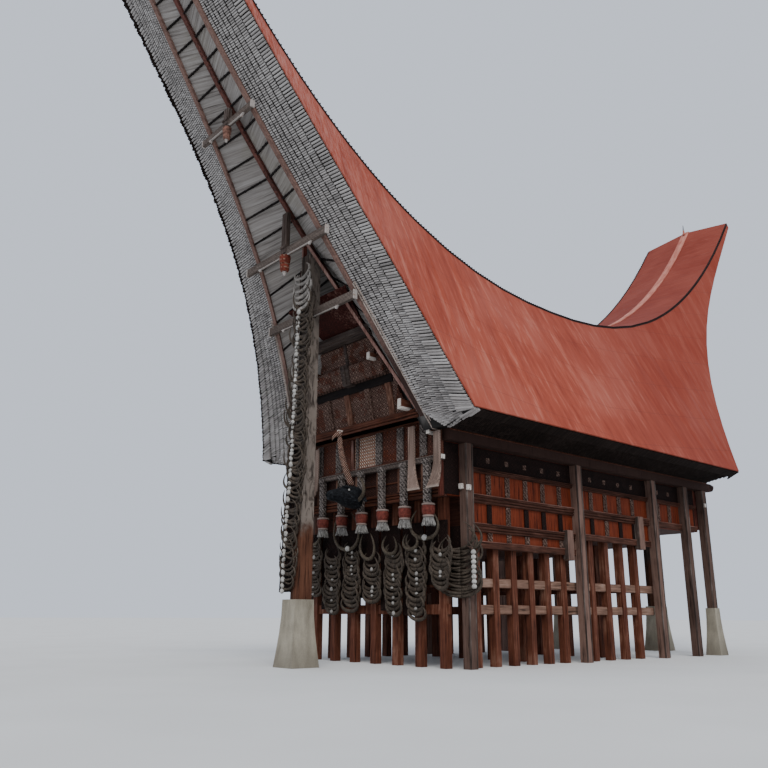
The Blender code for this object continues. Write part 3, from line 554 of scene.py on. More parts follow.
def ridge_paint(name):
    """Ridge cap: a paler strip of the same sheet, with a grey spike at each tip."""
    paint = Paint(name)
    wear = paint.noise(paint.stretched((1, 0.3, 0.3)), 7, 4, 0.6)
    colour = paint.ramp(wear, (0.32, (0.33, 0.10, 0.070)), (0.66, (0.50, 0.21, 0.16)))
    colour = paint.mix(paint.z.step(14.715, 14.73), colour, (0.20, 0.21, 0.23))
    return paint.finish(colour, 0.65, wear, 0.004)


def bamboo_paint(name, dark, mid, pale):
    """Weathered culms, each with its own tint, with streaks along them and dark stains."""
    paint = Paint(name)
    tint = paint.node("ShaderNodeAttribute", {"attribute_name": "tint"}, output="Fac")
    stains = paint.noise(paint.place, 1.3, 4, 0.65)
    fine = paint.noise(paint.place, 60, 2, 0.6)
    tone = tint * 0.22 + fine * 0.25 + stains * 0.45
    colour = paint.ramp(tone, (0.22, dark), (0.46, mid), (0.72, pale))
    warm = paint.noise(paint.place, 7, 2).step(0.55, 0.7)
    colour = paint.mix(warm * 0.2, colour, [c * 0.62 for c in mid])
    colour = paint.mix(paint.z.step(5.5, 11.0) * 0.18, colour, [c * 1.2 for c in pale])
    return paint.finish(colour, 0.85, fine, 0.003)


def soffit_paint(name):
    """Split bamboo under the roof: strips that fan outward and forward, near-black as painted shade where it
    lies behind the culms.
    """
    paint = Paint(name)
    reach = paint.y.size()
    fan = ((6 - reach) * 0.9).math("EXPONENT") * 0.33 + 0.33
    across = reach - fan * paint.x.size()
    strips = paint.noise(paint.vector(across * 34, paint.x * 0.6, paint.z * 0.25), 1.0, 3, 0.6)
    splits = paint.noise(paint.vector(across * 110, paint.x * 1.2, paint.z * 0.5), 1.0, 2, 0.6)
    stains = paint.noise(paint.place, 1.1, 4, 0.6)
    tone = strips * 0.8 + splits * 0.4 + stains * 0.25 - 0.2
    tones = (0.04, 0.035, 0.032), (0.19, 0.17, 0.155), (0.36, 0.34, 0.32)
    colour = paint.ramp(tone, *zip((0.28, 0.44, 0.80), tones))
    colour = paint.mix(stains.step(0.5, 0.7) * 0.3, colour, (0.16, 0.14, 0.10))
    rail = ((RAIL_END - reach) * (WIDTH_POWER / RAIL_FADE)).math("EXPONENT") * RAIL_SPREAD + RAIL_HALF
    outside = (paint.x.size() - rail).step(0.02, 0.05)
    under_eaves = 1 - reach.step(RAIL_END, 5.10)
    # Painted shade: outside the rails and under the eaves, behind the culms, the soffit goes near-black.
    behind = outside.math("MAXIMUM", under_eaves) * (1 - reach.step(10.50, 10.58))
    corner = reach.step(4.88, 4.94) * (1 - reach.step(5.3, 5.8))
    colour = paint.mix(behind, colour, paint.mix(corner, (0.010, 0.008, 0.007), (0.018, 0.017, 0.016)))
    return paint.finish(colour, 0.88, strips * 0.7 + splits * 0.3, 0.012)


def horn_paint(name, dark, light):
    paint = Paint(name)
    rings = paint.noise(paint.place, 38, 2, 0.5)
    patches = paint.noise(paint.place, 5, 3, 0.6)
    colour = paint.ramp(rings * 0.5 + patches * 0.5, (0.32, dark), (0.66, light))
    return paint.finish(colour, 0.62, rings, 0.004)


def concrete_paint(name):
    paint = Paint(name)
    grit = paint.noise(paint.place, 55, 4, 0.7)
    stains = paint.noise(paint.stretched((1, 1, 0.35)), 3.2, 5, 0.65)
    tone = stains * 0.8 + grit * 0.3
    colour = paint.ramp(tone, (0.35, (0.125, 0.107, 0.080)), (0.72, (0.345, 0.312, 0.245)))
    # Darker towards the bottom.
    low_darkening = 1 - paint.z.step(0.05, 0.55)
    colour = paint.mix(low_darkening * 0.45, colour, (0.12, 0.105, 0.085))
    return paint.finish(colour, 0.92, grit, 0.004)


def cream_paint(name, tone):
    """Old cream paint on a timber's end, scuffed down to the wood."""
    paint = Paint(name)
    scuffs = paint.noise(paint.place, 24, 4, 0.65)
    colour = paint.mix(scuffs.step(0.56, 0.66), tone, (0.20, 0.13, 0.09))
    return paint.finish(colour, 0.8, scuffs, 0.003)


def banded_paint(name):
    """Pots under the hanging posts: red between pale rims, with dark edges."""
    paint = Paint(name)
    scuffs = paint.noise(paint.place, 16, 4, 0.6)
    red = paint.ramp(scuffs, (0.35, (0.075, 0.016, 0.012)), (0.65, (0.165, 0.040, 0.029)))
    rim = (paint.z - 2.865).size().step(0.085, 0.10)
    colour = paint.mix(rim * 0.8, red, (0.23, 0.19, 0.165))
    figure = ((paint.x * 70).math("SINE") * (paint.z * 60).math("SINE")).step(0.55, 0.75)
    colour = paint.mix(figure * (1 - rim) * 0.5, colour, (0.07, 0.02, 0.015))
    return paint.finish(colour, 0.7, scuffs - figure * 0.4, 0.004)


def fringe_paint(name):
    paint = Paint(name)
    strands = paint.noise(paint.stretched((1, 1, 0.08)), 60, 3, 0.6)
    colour = paint.ramp(strands, (0.36, (0.05, 0.046, 0.043)), (0.62, (0.33, 0.315, 0.295)))
    return paint.finish(colour, 0.9, strands, 0.006)


def lattice_paint(name):
    """Painted shutter: small squares on edge in cream and orange between black bars."""
    paint = Paint(name)
    unit = 0.070
    across, rising = (paint.x + paint.z) / unit, (paint.x - paint.z) / unit
    u, v = across.math("FRACT") - 0.5, rising.math("FRACT") - 0.5
    square = 1 - u.size().math("MAXIMUM", v.size()).step(0.30, 0.37)
    hole = 1 - u.size().math("MAXIMUM", v.size()).step(0.07, 0.11)
    bar = (1 - (u.size() - v.size()).size().step(0.02, 0.05)) * (1 - square)
    every_other = ((across.math("FLOOR") + rising.math("FLOOR")) * 0.5).math("FRACT") > 0.25
    scuffs = paint.noise(paint.place, 20, 4, 0.6)
    ground = paint.ramp(scuffs, (0.3, (0.008, 0.006, 0.006)), (0.7, (0.035, 0.014, 0.010)))
    orange = paint.mix(scuffs, (0.36, 0.14, 0.075), (0.54, 0.33, 0.235))
    colour = paint.mix(bar * 0.7, ground, orange)
    shown = square * (1 - hole) * scuffs.step(0.28, 0.42)
    colour = paint.mix(shown, colour, paint.mix(every_other, (0.60, 0.47, 0.38), orange))
    return paint.finish(colour, 0.75, square - hole, 0.004)


def pendant_paint(name, red, dot):
    """Turned drop: red, with rows of pale dots round it."""
    paint = Paint(name)
    scuffs = paint.noise(paint.place, 14, 4, 0.6)
    ground = paint.ramp(scuffs, (0.32, [c * 0.4 for c in red]), (0.68, red))
    rows = (paint.z * 75).math("SINE").step(0.35, 0.6)
    marks = ((paint.x * 95).math("SINE")).step(0.0, 0.4)
    colour = paint.mix(rows * marks * 0.5, ground, dot)
    return paint.finish(colour, 0.75, scuffs + rows * marks, 0.004)


def neck_paint(name):
    """Bird neck: rows of pale diamonds on dark red."""
    paint = Paint(name)
    unit = 0.052
    u = ((paint.x + paint.y + paint.z) / unit).math("FRACT") - 0.5
    v = ((paint.x + paint.y - paint.z) / unit).math("FRACT") - 0.5
    spots = 1 - (u.size() + v.size()).step(0.30, 0.42)
    scuffs = paint.noise(paint.place, 18, 4, 0.6)
    ground = paint.ramp(scuffs, (0.3, (0.03, 0.015, 0.012)), (0.7, (0.14, 0.04, 0.025)))
    colour = paint.mix(spots * scuffs.step(0.3, 0.5), ground, (0.42, 0.34, 0.27))
    return paint.finish(colour, 0.75, spots, 0.004)


def plank_paint(name):
    """Long weathered planks with fine lines cut down them and small dots between the lines."""
    paint = Paint(name)
    streaks, fibres, patches = grain_of(paint, "Z")
    tone = streaks * 0.8 + patches * 0.5
    colour = paint.ramp(tone, (0.36, (0.075, 0.048, 0.036)), (0.82, (0.27, 0.195, 0.16)))
    lines = ((paint.x * 190).math("SINE")).step(0.55, 0.85)
    dots = ((paint.x * 190).math("COSINE") * (paint.z * 120).math("SINE")).step(0.5, 0.7)
    cuts = (lines * 0.6).math("MAXIMUM", dots * 0.5) * streaks.step(0.3, 0.5)
    colour = paint.mix(cuts, colour, (0.035, 0.022, 0.017))
    foot = 1 - paint.z.step(PLANK_FOOT, 3.32)
    colour = paint.mix(foot * 0.5, colour, (0.34, 0.29, 0.25))
    return paint.finish(colour, 0.85, fibres - lines * 0.5, 0.005)


def centre_post_paint(name):
    """Tall gable post: grey and brown above, bleached along its corners, and red-brown near the foot."""
    paint = Paint(name)
    streaks, fibres, patches = grain_of(paint, "Z")
    tone = streaks * 0.9 + patches * 0.4
    grey = paint.ramp(tone, (0.38, (0.016, 0.011, 0.009)), (0.80, (0.085, 0.066, 0.055)))
    red = paint.ramp(tone, (0.38, (0.034, 0.012, 0.007)), (0.80, (0.115, 0.048, 0.028)))
    low = 1 - (paint.z + patches * 0.9).step(2.75, 3.15)
    corner = (paint.x.size() + fibres * 0.03).step(0.135, 0.145)
    rough = paint.noise(paint.stretched((1, 1, 0.4)), 9, 4, 0.65, 0.8)
    shaded = 1 - paint.x.step(-0.07, 0.0)
    colour = paint.mix(low, grey, red)
    colour = paint.mix(shaded * 0.55, colour, (0.014, 0.010, 0.008))
    colour = paint.mix(corner * (1 - low) * rough.step(0.36, 0.56) * 0.8, colour, (0.215, 0.178, 0.150))
    cracks = 1 - streaks.step(0.33, 0.41)
    colour = paint.mix(cracks * 0.7, colour, (0.012, 0.008, 0.006))
    return paint.finish(colour, 0.85, streaks * 0.6 + rough * 0.6 + fibres * 0.3 - cracks, 0.014)


def rail_paint(name):
    """Rail along the verge: pinkish brown and bleached above, nearly black at its foot."""
    paint = Paint(name)
    streaks, fibres, patches = grain_of(paint, "Y")
    tone = streaks * 0.8 + patches * 0.5
    colour = paint.ramp(tone, (0.36, (0.050, 0.025, 0.020)), (0.80, (0.215, 0.130, 0.105)))
    foot = 1 - (paint.z + patches * 0.5).step(5.6, 7.2)
    colour = paint.mix(foot * 0.88, colour, (0.022, 0.012, 0.010))
    return paint.finish(colour, 0.8, streaks * 0.6 + fibres * 0.4, 0.005)


def post_paint(name):
    """Side posts: weathered brown, with painted light: the posts near the middle lighter and those at the
    ends darker, to even out the shade on them; a nearly black plate along their tops.
    """
    paint = Paint(name)
    streaks, fibres, patches = grain_of(paint, "Z")
    tone = streaks * 0.9 + patches * 0.5
    front = paint.ramp(tone, (0.38, (0.022, 0.012, 0.009)), (0.82, (0.105, 0.064, 0.050)))
    rear = paint.ramp(tone, (0.38, (0.038, 0.020, 0.015)), (0.82, (0.19, 0.115, 0.090)))
    # Painted light: the lighter ramp named rear goes on the middle posts and the darker ramp named front on
    # the end posts, offsetting the shade that falls on them.
    colour = paint.mix(paint.y.size().step(1.5, 3.9), rear, front)
    cracks = 1 - streaks.step(0.32, 0.40)
    colour = paint.mix(cracks * 0.75, colour, BLACK_LINE)
    colour = paint.mix(paint.z.step(4.165, 4.18) * 0.9, colour, (0.026, 0.012, 0.0095))
    return paint.finish(colour, 0.85, streaks * 0.6 + fibres * 0.4 - cracks * 0.8, 0.006)


def hide_paint(name):
    """Black carved head with tufts of rough hair, the lighter bluish tones on the tufts a painted sheen."""
    paint = Paint(name)
    tufts = paint.noise(paint.stretched((1, 0.35, 1)), 34, 4, 0.7, 0.6)
    tones = (0.003, 0.003, 0.004), (0.014, 0.016, 0.019), (0.06, 0.068, 0.075)
    # Painted sheen: the pale bluish stop stands for the sheen on the black hair.
    colour = paint.ramp(tufts, *zip((0.42, 0.60, 0.74), tones))
    return paint.finish(colour, 0.7, tufts, 0.014)


RED_SHEET = sheet_paint("red_sheet")
TOP_SHEET = sheet_paint("top_sheet", (0.3, 0.25, 2.6), TOP_TONES)
RIDGE = ridge_paint("ridge_strip")
# Near-black lip and corrugation ends at the crease: painted shade under the folded edge.
CREASE_PAINTED_SHADE = timber("crease_edge", (0.006, 0.004, 0.004), (0.030, 0.014, 0.012), "Y")
CULMS = bamboo_paint("bamboo_culms", (0.10, 0.092, 0.087), (0.31, 0.288, 0.275), (0.49, 0.472, 0.455))
# Culms painted near-black as painted shade, for the culms under the eaves and the stubs along the left verge.
CULMS_PAINTED_SHADE = bamboo_paint("eave_culms_painted_shade", (0.004, 0.0025, 0.002), (0.012, 0.0075, 0.006), (0.028, 0.019, 0.016))
EAVE_LINE = timber("eave_lines", (0.025, 0.015, 0.012), (0.13, 0.085, 0.070), "Y")
SOFFIT = soffit_paint("bamboo_soffit")
POLE = timber("dark_poles", (0.003, 0.002, 0.002), (0.016, 0.012, 0.011), "X", roughness=0.9)
ROD_PALE = timber("pale_rods", (0.14, 0.10, 0.08), (0.38, 0.32, 0.28), "Y")
RAIL_BROWN = rail_paint("rail_brown")
BEAM_BROWN = timber("beam_brown", (0.034, 0.014, 0.011), (0.135, 0.052, 0.040), "Y")
TIE_GREY = framed("tie_grey", (0.17, 0.135, 0.115), (0.075, 0.055, 0.046), "X", 0.6)
TIE_STRIP = cream_paint("tie_strip", (0.34, 0.305, 0.28))
KING_GREY = timber("king_grey", (0.020, 0.013, 0.010), (0.09, 0.065, 0.055), "Z", (0.20, 0.17, 0.15))
POST_GREY = centre_post_paint("post_grey")
POST_DARK = post_paint("post_dark")
PLATE_DARK = carved("plate_dark", (0.035, 0.014, 0.010), (0.11, 0.055, 0.042), BLACK_LINE, 0.11, "Y", 0.5)
PANEL_ORANGE = timber("panel_orange", (0.060, 0.010, 0.004), (0.19, 0.032, 0.010), "Z", (0.12, 0.035, 0.018))
SIDE_DARK = carved("side_dark", (0.010, 0.004, 0.003), (0.032, 0.016, 0.013), BLACK_LINE, 0.12, "Y", 0.5)
MOULDING = timber("moulding", (0.018, 0.007, 0.004), (0.085, 0.032, 0.020), "Y", (0.15, 0.075, 0.055))
SIDE_LINE = timber("side_line", (0.05, 0.020, 0.014), (0.20, 0.090, 0.065), "Y", (0.26, 0.16, 0.13))
MOULDING_X = timber(
    "moulding_across", (0.020, 0.007, 0.004), (0.092, 0.029, 0.015), "X", (0.10, 0.045, 0.030)
)
CORNICE = timber("cornice_grey", (0.020, 0.013, 0.011), (0.075, 0.055, 0.047), "X", (0.12, 0.10, 0.09), 0.4)
SHADOW = timber("shadow_gap", (0.003, 0.002, 0.002), (0.010, 0.006, 0.005), "X")
FACADE_TONES = (0.036, 0.011, 0.007), (0.16, 0.065, 0.044), (0.17, 0.045, 0.020)
FACADE_PANEL = carved("facade_panel", *FACADE_TONES, 0.098, "Z", 0.85, shaded=3.85)
GABLE_TONES = (0.030, 0.012, 0.008), (0.23, 0.145, 0.115), (0.16, 0.060, 0.038)
GABLE_PANEL = carved("gable_panel", *GABLE_TONES, 0.105, "Z", 0.9)
PILASTER = framed("pilaster", (0.035, 0.025, 0.021), (0.20, 0.168, 0.152))
PALE_PILASTER = framed("pale_pilaster", (0.050, 0.024, 0.017), (0.20, 0.130, 0.103))
BROWN_PILASTER = timber(
    "brown_pilaster", (0.035, 0.013, 0.009), (0.15, 0.070, 0.045), "Z", (0.19, 0.125, 0.095)
)
APEX_RED = timber("apex_red", (0.014, 0.003, 0.002), (0.060, 0.011, 0.008), "Z", (0.20, 0.125, 0.10), 0.55)
RAFTER = timber("rafter_red", (0.030, 0.007, 0.005), (0.11, 0.028, 0.018), "Z", (0.17, 0.075, 0.055))
EDGE_PINK = timber("edge_pink", (0.10, 0.045, 0.034), (0.30, 0.165, 0.135), "Z", (0.36, 0.25, 0.22))
CREAM = cream_paint("cream_paint", (0.55, 0.50, 0.45))
WHITE_BOARD = cream_paint("white_board", (0.48, 0.44, 0.40))
BLOCK_SIDE = timber("block_side", (0.035, 0.012, 0.007), (0.13, 0.045, 0.025), "Y", (0.16, 0.10, 0.07))
SHUTTER = lattice_paint("shutter_lattice")
EAR = plank_paint("ear_plank")
HANGER = framed("hanging_post", (0.030, 0.022, 0.020), (0.24, 0.205, 0.185), "Z", 0.4)
RAIL_GREY = framed("rail_grey", (0.16, 0.125, 0.108), (0.050, 0.037, 0.031), "X", 0.3)
POT = banded_paint("pot_bands")
FRINGE = fringe_paint("fringe_strands")
NECK = neck_paint("neck_diamonds")
BUFFALO = hide_paint("buffalo_black")
HORN_DARK = horn_paint("horn_dark", (0.020, 0.014, 0.010), (0.105, 0.085, 0.062))
HORN_BLACK = horn_paint("horn_black", (0.012, 0.009, 0.007), (0.086, 0.066, 0.050))
HORN_PALE = horn_paint("horn_pale", (0.10, 0.09, 0.08), (0.36, 0.33, 0.30))
BONE = horn_paint("bone", (0.17, 0.157, 0.142), (0.50, 0.485, 0.455))
BONE_DULL = horn_paint("bone_dull", (0.10, 0.09, 0.08), (0.33, 0.315, 0.295))
PIER_RED = timber("pier_red", (0.034, 0.010, 0.006), (0.135, 0.044, 0.024), "Z", (0.20, 0.11, 0.075), 0.6)
RAIL_PALE = timber("rail_pale", (0.075, 0.040, 0.028), (0.24, 0.140, 0.100), "Y", (0.30, 0.22, 0.175))
FLOOR_RED = timber("floor_red", (0.025, 0.009, 0.006), (0.075, 0.026, 0.016), "X")
CONCRETE = concrete_paint("concrete")
PENDANT = pendant_paint("pendant_dots", (0.17, 0.036, 0.022), (0.28, 0.20, 0.14))
PENDANT_BROWN = pendant_paint("pendant_brown", (0.23, 0.115, 0.085), (0.07, 0.04, 0.03))


# Pieces


def piece(obj, material, replaced=()):
    """Gives a piece its material and the body it rides on, and hides the solids it stands for."""
    obj.data.materials.clear()
    obj.data.materials.append(material)
    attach(obj, "root")
    if replaced:
        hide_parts(*replaced)


def paint_solids():
    """New materials on the solids whose shape is right."""
    finishes = {
        "roof_sheet": RED_SHEET,
        "roof_top_sheet": TOP_SHEET,
        "roof_bamboo": SOFFIT,
        "ridge_cap": RIDGE,
        "ridge_beam": BEAM_BROWN,
        "verge_rail": RAIL_BROWN,
        "centre_post_foot": CONCRETE,
        "rear_post_foot": CONCRETE,
        "centre_post": POST_GREY,
        "right_frame": POST_DARK,
        "left_frame": POST_DARK,
        "right_wall": PANEL_ORANGE,
        "left_wall": PANEL_ORANGE,
        "front_wall": FACADE_PANEL,
        "rear_wall": FACADE_PANEL,
        "window_shutter": SHUTTER,
        "front_gable": GABLE_PANEL,
        "rear_gable": GABLE_PANEL,
        "front_apex": APEX_RED,
        "rear_apex": APEX_RED,
        "floor": FLOOR_RED,
        "underframe": PIER_RED,
    }
    for name, node in NODES.items():
        match = max((key for key in finishes if name.startswith(key)), key=len, default=None)
        if match:
            node.data.materials.clear()
            node.data.materials.append(finishes[match])


# Roof


def culm_model():
    """A short culm of unit length: six sides, hollow at its outer end."""
    add = bpy.ops.mesh.primitive_cylinder_add
    obj = primitive(add, "culm", vertices=6, radius=1, depth=1, location=(0, 0, 0.5))
    begin_face_edit(obj, lambda face: face.normal.z < -0.9)
    bpy.ops.mesh.inset(thickness=0.28, depth=0)
    bpy.ops.mesh.extrude_region_move(TRANSFORM_OT_translate={"value": (0, 0, 0.3)})
    bpy.ops.object.mode_set(mode="OBJECT")
    return obj


CULM_RADIUS, CULM_SPACING = 0.0195, 0.050
OUTER_RADIUS, OUTER_SPACING = 0.0265, 0.070
STUB_RADIUS, STUB_SPACING = 0.027, 0.046
LAST_CULM = 10.62
CORNER_START, CORNER_MIDDLE = 4.94, 5.03
ROWS = range(len(LAYERS) - 1)


def lean_at(d):
    """How much further from the middle of the house culms would stand at the rail than at the verge."""
    fan = min(1.0, max(0.0, (d - 4.72) / 0.42))
    return fan * (0.12 + min(0.11, 0.27 * math.exp(-max(0.0, d - 5.20) / 1.3)))


def row_middle(d, row):
    """Middle of a row of culms at one place, as (x, z, d)."""
    outer, inner = Vector(riser(d, row, 0)), Vector(riser(d, row, 1))
    return Vector((*((outer + inner) / 2), d))


def corner_of(row, end):
    """Where the culms of the eave, painted dark as shade, give way to the pale ones of the verge, a little
    later at the rear.
    """
    return (CORNER_START if end < 0 else 5.07) - 0.10 * LAYERS[row]


def spaced_along(row, start, finish, spacing):
    """Distances along the middle of a row of culms, a culm apart as measured on the roof."""
    places, gone, step = [], spacing, 0.004
    last = row_middle(start, row)
    for i in range(int((finish - start) / step)):
        d = start + step * i
        middle = row_middle(d, row)
        gone += (middle - last).length
        last = middle
        gap = spacing * (0.62 if row == 0 and d < 5.12 else 1.0)
        if gone >= gap:
            places.append(d)
            gone -= gap
    return places


def culm_places(middles, end, side, row, thick, set_back=0.0):
    """Places of one row's culms, which lie higher near the corner and reach over the step to the next row."""
    places = []
    above, here = LAYERS[row : row + 2]
    for d in middles:
        _, run = riser_ends(d)
        down = Vector((run.x, run.y, 0))
        half = lean_at(d) * (here - above) / 2
        a = Vector((*riser(d - half, row, 0), d - half))
        b = Vector((*riser(d + half, row, 1), d + half))
        axis = (b - a).normalized()
        near = max(0.03, d)
        outward = axis.cross(row_middle(near + 0.03, row) - row_middle(near - 0.03, row))
        if outward.dot(down) < 0:
            outward = -outward
        radius = thick * draw.uniform(0.90, 1.06)
        lift = 0.75 + 0.5 * math.exp(-(((d - CORNER_MIDDLE) / 0.22) ** 2))
        offset = outward.normalized() * radius * lift
        over = 0.0
        if row + 1 in ROWS:
            over = max(0.0, 0.5 * math.dist(riser(d, row, 1), riser(d, row + 1, 0)) - 0.012)
        a = a + axis * (set_back * draw.uniform(0.7, 1.3) + draw.uniform(0.004, 0.018)) + offset
        b = b + axis * (over - draw.uniform(0.010, 0.026)) + offset
        a, b, out = [Vector((side * v.x, end * v.z, v.y)) for v in (a, b, outward)]
        places.append(bar_place(a, b, out, radius))
    return places


def make_culms():
    """Seven rows of culms round the roof. Those of the outer row are thicker and stand further apart."""
    for side, word in SIDES:
        eave = []
        for end, place in ENDS:
            verge_culms = []
            for row in ROWS:
                thick, spacing = (CULM_RADIUS, CULM_SPACING) if row else (OUTER_RADIUS, OUTER_SPACING)
                edge_gap = 0.065 if side < 0 and row == 0 else 0.0
                corner = corner_of(row, end)
                middles = spaced_along(row, corner, LAST_CULM, spacing)
                verge_culms += culm_places(middles, end, side, row, thick, edge_gap)
                middles = spaced_along(row, CULM_SPACING / 2, corner, CULM_SPACING)
                eave += culm_places(middles, end, side, row, CULM_RADIUS)
            piece(copies(f"verge_culms_{place}_{word}", culm_model(), verge_culms), CULMS)
        # The eave culms are painted near-black as the shade under the eaves.
        piece(copies(f"eave_culms_painted_shade_{word}", culm_model(), eave), CULMS_PAINTED_SHADE)
        lines = []
        for row in ROWS[1:]:
            x, z = riser(0, row, 0)
            low, high = (side * (x - 0.02), -4.6, z - 0.012), (side * (x + 0.008), 4.6, z + 0.006)
            lines.append(block("line", low, high, 0.004))
        piece(joined(f"eave_lines_{word}", lines), EAVE_LINE)


def make_left_edge_shade():
    """Dark ragged ends of short culms that hang along the outer edge of the left verge, as painted shade for
    the shadowed underside of the sheet's edge.
    """
    for end, place in ENDS:
        places = []
        for d in spaced_along(0, CORNER_START, LAST_CULM, STUB_SPACING):
            rows, run = riser_ends(d)
            inner = (rows[0][1] - rows[0][0]).normalized()
            root = Vector(riser(d, 0, 0)) + inner * 0.024
            longest = max(0.02, (EAVE_HALF - 0.035 - root.x) / run.x)
            tip = root + run * min(longest, draw.uniform(0.085, 0.135)) + inner * draw.uniform(-0.004, 0.012)
            a, b, out = [Vector((-v.x, end * min(d, 10.66), v.y)) for v in (tip, root, inner)]
            places.append(bar_place(a, b, Vector((out.x, 0, out.z)), STUB_RADIUS))
        piece(copies(f"verge_shade_edge_{place}_left", culm_model(), places), CULMS_PAINTED_SHADE)


def pole_model():
    """A dark pole of unit length with three raised nodes."""
    add = bpy.ops.mesh.primitive_cylinder_add
    obj = primitive(add, "pole", vertices=8, radius=1, depth=1, location=(0, 0, 0.5))
    nodes = (0.26, 0.51, 0.76)
    for node in nodes:
        for cut in (node - 0.02, node, node + 0.02):
            begin_edit(obj)
            bpy.ops.mesh.bisect(plane_co=(0, 0, cut), plane_no=(0, 0, 1))
            bpy.ops.object.mode_set(mode="OBJECT")
    for vertex in obj.data.vertices:
        if any(abs(vertex.co.z - node) < 0.005 for node in nodes):
            vertex.co.x *= 1.35
            vertex.co.y *= 1.35
    return obj


def make_soffit_poles():
    """Dark poles across the soffit, from each rail in to the ridge beam, a little nearer the house there."""
    count, first, spacing = 15, 5.95, 0.2935
    for end, place in ENDS:
        places = []
        for side, _ in SIDES:
            for i in range(count):
                d = first + spacing * i
                half, z = rail_centre(d)
                near = d - 0.06 - 0.16 * max(0.0, 8.8 - d)
                start = (side * (half - 0.04), end * d, z + 0.030)
                finish = (side * 0.05, end * near, soffit_z(near) - 0.055)
                places.append(bar_place(start, finish, UP, 0.023))
        piece(copies(f"soffit_poles_{place}", pole_model(), places), POLE)


def make_rail_rods():
    """Two thin pale rods along the outer side of each verge rail's foot, which end a little past it."""
    count, finish = 12, 6.3
    for side, word in SIDES:
        for end, place in ENDS:
            rods = []
            for out, drop, start in ((0.080, -0.035, 4.80), (0.125, -0.005, 4.88)):
                points = []
                for i in range(count):
                    d = start + (finish - start) * i / (count - 1)
                    half, z = rail_centre(max(d, RAIL_END))
                    points.append((side * (half + out), end * d, z + drop))
                rods.append(tube("rod", points, [0.016] * count))
            piece(joined(f"rail_rods_{place}_{word}", rods), ROD_PALE)


def facet_crease_z(d):
    """Height of the crease on the straight facets between the roof's stations."""
    return float(np.interp(abs(d), STATIONS, [crease_z(s) for s in STATIONS]))


def make_crease_edges():
    """Folded lip of the top sheet along each crease, and the ends of its corrugations, both near-black as
    painted shade under the sheet's edge.
    """
    section = ((-0.03, 0.014), (0.022, 0.004), (0.026, -0.050), (-0.02, -0.012))
    half_rings, lip_end = 70, 10.67
    count, spacing = 276, 0.076
    for side, word in SIDES:
        rings = []
        for i in range(2 * half_rings + 1):
            y = lip_end * (i / half_rings - 1)
            z = facet_crease_z(y)
            rings.append([(side * (CREASE_HALF + dx), y, z + dz) for dx, dz in section])
        lip = loft("lip", rings)
        add = bpy.ops.mesh.primitive_cylinder_add
        model = primitive(add, "corrugation", vertices=8, radius=0.014, depth=0.050)
        tilt = turn(side * (math.pi / 2 + 0.35), "Y")
        places = []
        for i in range(count):
            y = spacing * (i - (count - 1) / 2)
            places.append(shift(side * (CREASE_HALF + 0.015), y, facet_crease_z(y) + 0.004) @ tilt)
        piece(joined(f"crease_lip_{word}", [lip, copies("corrugations", model, places)]), CREASE_PAINTED_SHADE)


# Tie beams


def hook_outline(x, top, turning):
    """End of the strip under a tie beam: a quarter round that drops and curls."""
    points = [(x, top), (x, top - 0.045)]
    for i in range(7):
        angle = math.pi * i / 6
        across, down = 0.026 - 0.026 * math.cos(angle), 0.020 * math.sin(angle)
        points.append((x + turning * across, top - 0.045 - down))
    points += [(x + turning * 0.07, top - 0.026), (x + turning * 0.10, top)]
    return points


def make_tie(place, end, word, d, half, tall, has_king):
    """A carved tie beam with pale strips under it, and on the outer two a king post and a pendant."""
    node = f"tie_beam_{place}_{word}"
    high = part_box(node)[1]
    y = end * d
    top = rail_bottom_at(d) if has_king else high.z
    bottom = top - tall
    short = half - 0.012
    beam = block(f"tie_{place}_{word}", (-short, y - 0.042, bottom), (short, y + 0.042, top), 0.010)
    begin_face_edit(beam, lambda face: abs(face.normal.y) > 0.9 and face.area > 0.1)
    bpy.ops.mesh.inset(thickness=0.022, depth=-0.007)
    bpy.ops.object.mode_set(mode="OBJECT")
    piece(beam, TIE_GREY, [node])
    if has_king:
        head = high.z - 0.002
        king = [
            block("king", (-0.09, y - 0.055, bottom + 0.05), (0.09, y + 0.048, head), 0.010),
            block("king rib", (-0.03, y - 0.065, top + 0.02), (0.03, y + 0.06, head - 0.02), 0.008),
            block("king collar", (-0.11, y - 0.08, top - 0.01), (0.11, y + 0.08, top + 0.05), 0.012),
        ]
        piece(joined(f"king_post_{place}_{word}", king), KING_GREY)
    strips = []
    inner = 0.13 if has_king else 0.17
    outer = 0.60 * half
    face, inside = y + end * 0.046, y + end * 0.008
    for side, _ in SIDES:
        near, far = side * inner, side * outer
        strips.append(block("strip", (near, inside, bottom - 0.018), (far, face, bottom), 0.005))
        strips.append(slab("hook", hook_outline(far, bottom, side), "Y", inside, face))
        low_corner = (side * (half - 0.03), y - 0.048, bottom - 0.012)
        strips.append(block("end cap", low_corner, (side * half, y + 0.048, top + 0.006), 0.005))
    piece(joined(f"tie_strips_{place}_{word}", strips), TIE_STRIP)
    if has_king:
        paint, size = (PENDANT, 1.0) if word == "middle" else (PENDANT_BROWN, 0.78)
        make_pendant(f"pendant_{place}_{word}", y, bottom, paint, size)


def make_ties():
    """Three tie beams under each overhang."""
    for end, place in ENDS:
        make_tie(place, end, "lower", 6.29, 1.52, 0.180, has_king=False)
        make_tie(place, end, "middle", 6.98, 1.46, 0.175, has_king=True)
        make_tie(place, end, "upper", 8.53, 0.98, 0.140, has_king=True)


def rail_bottom_at(d):
    """Underside of the verge rail over a tie beam, which hangs from the rail's lower edge."""
    heights = [rail_centre(s)[1] - RAIL_HIGH for s in STATIONS]
    return float(np.interp(d - 0.06, STATIONS, heights)) - 0.0006


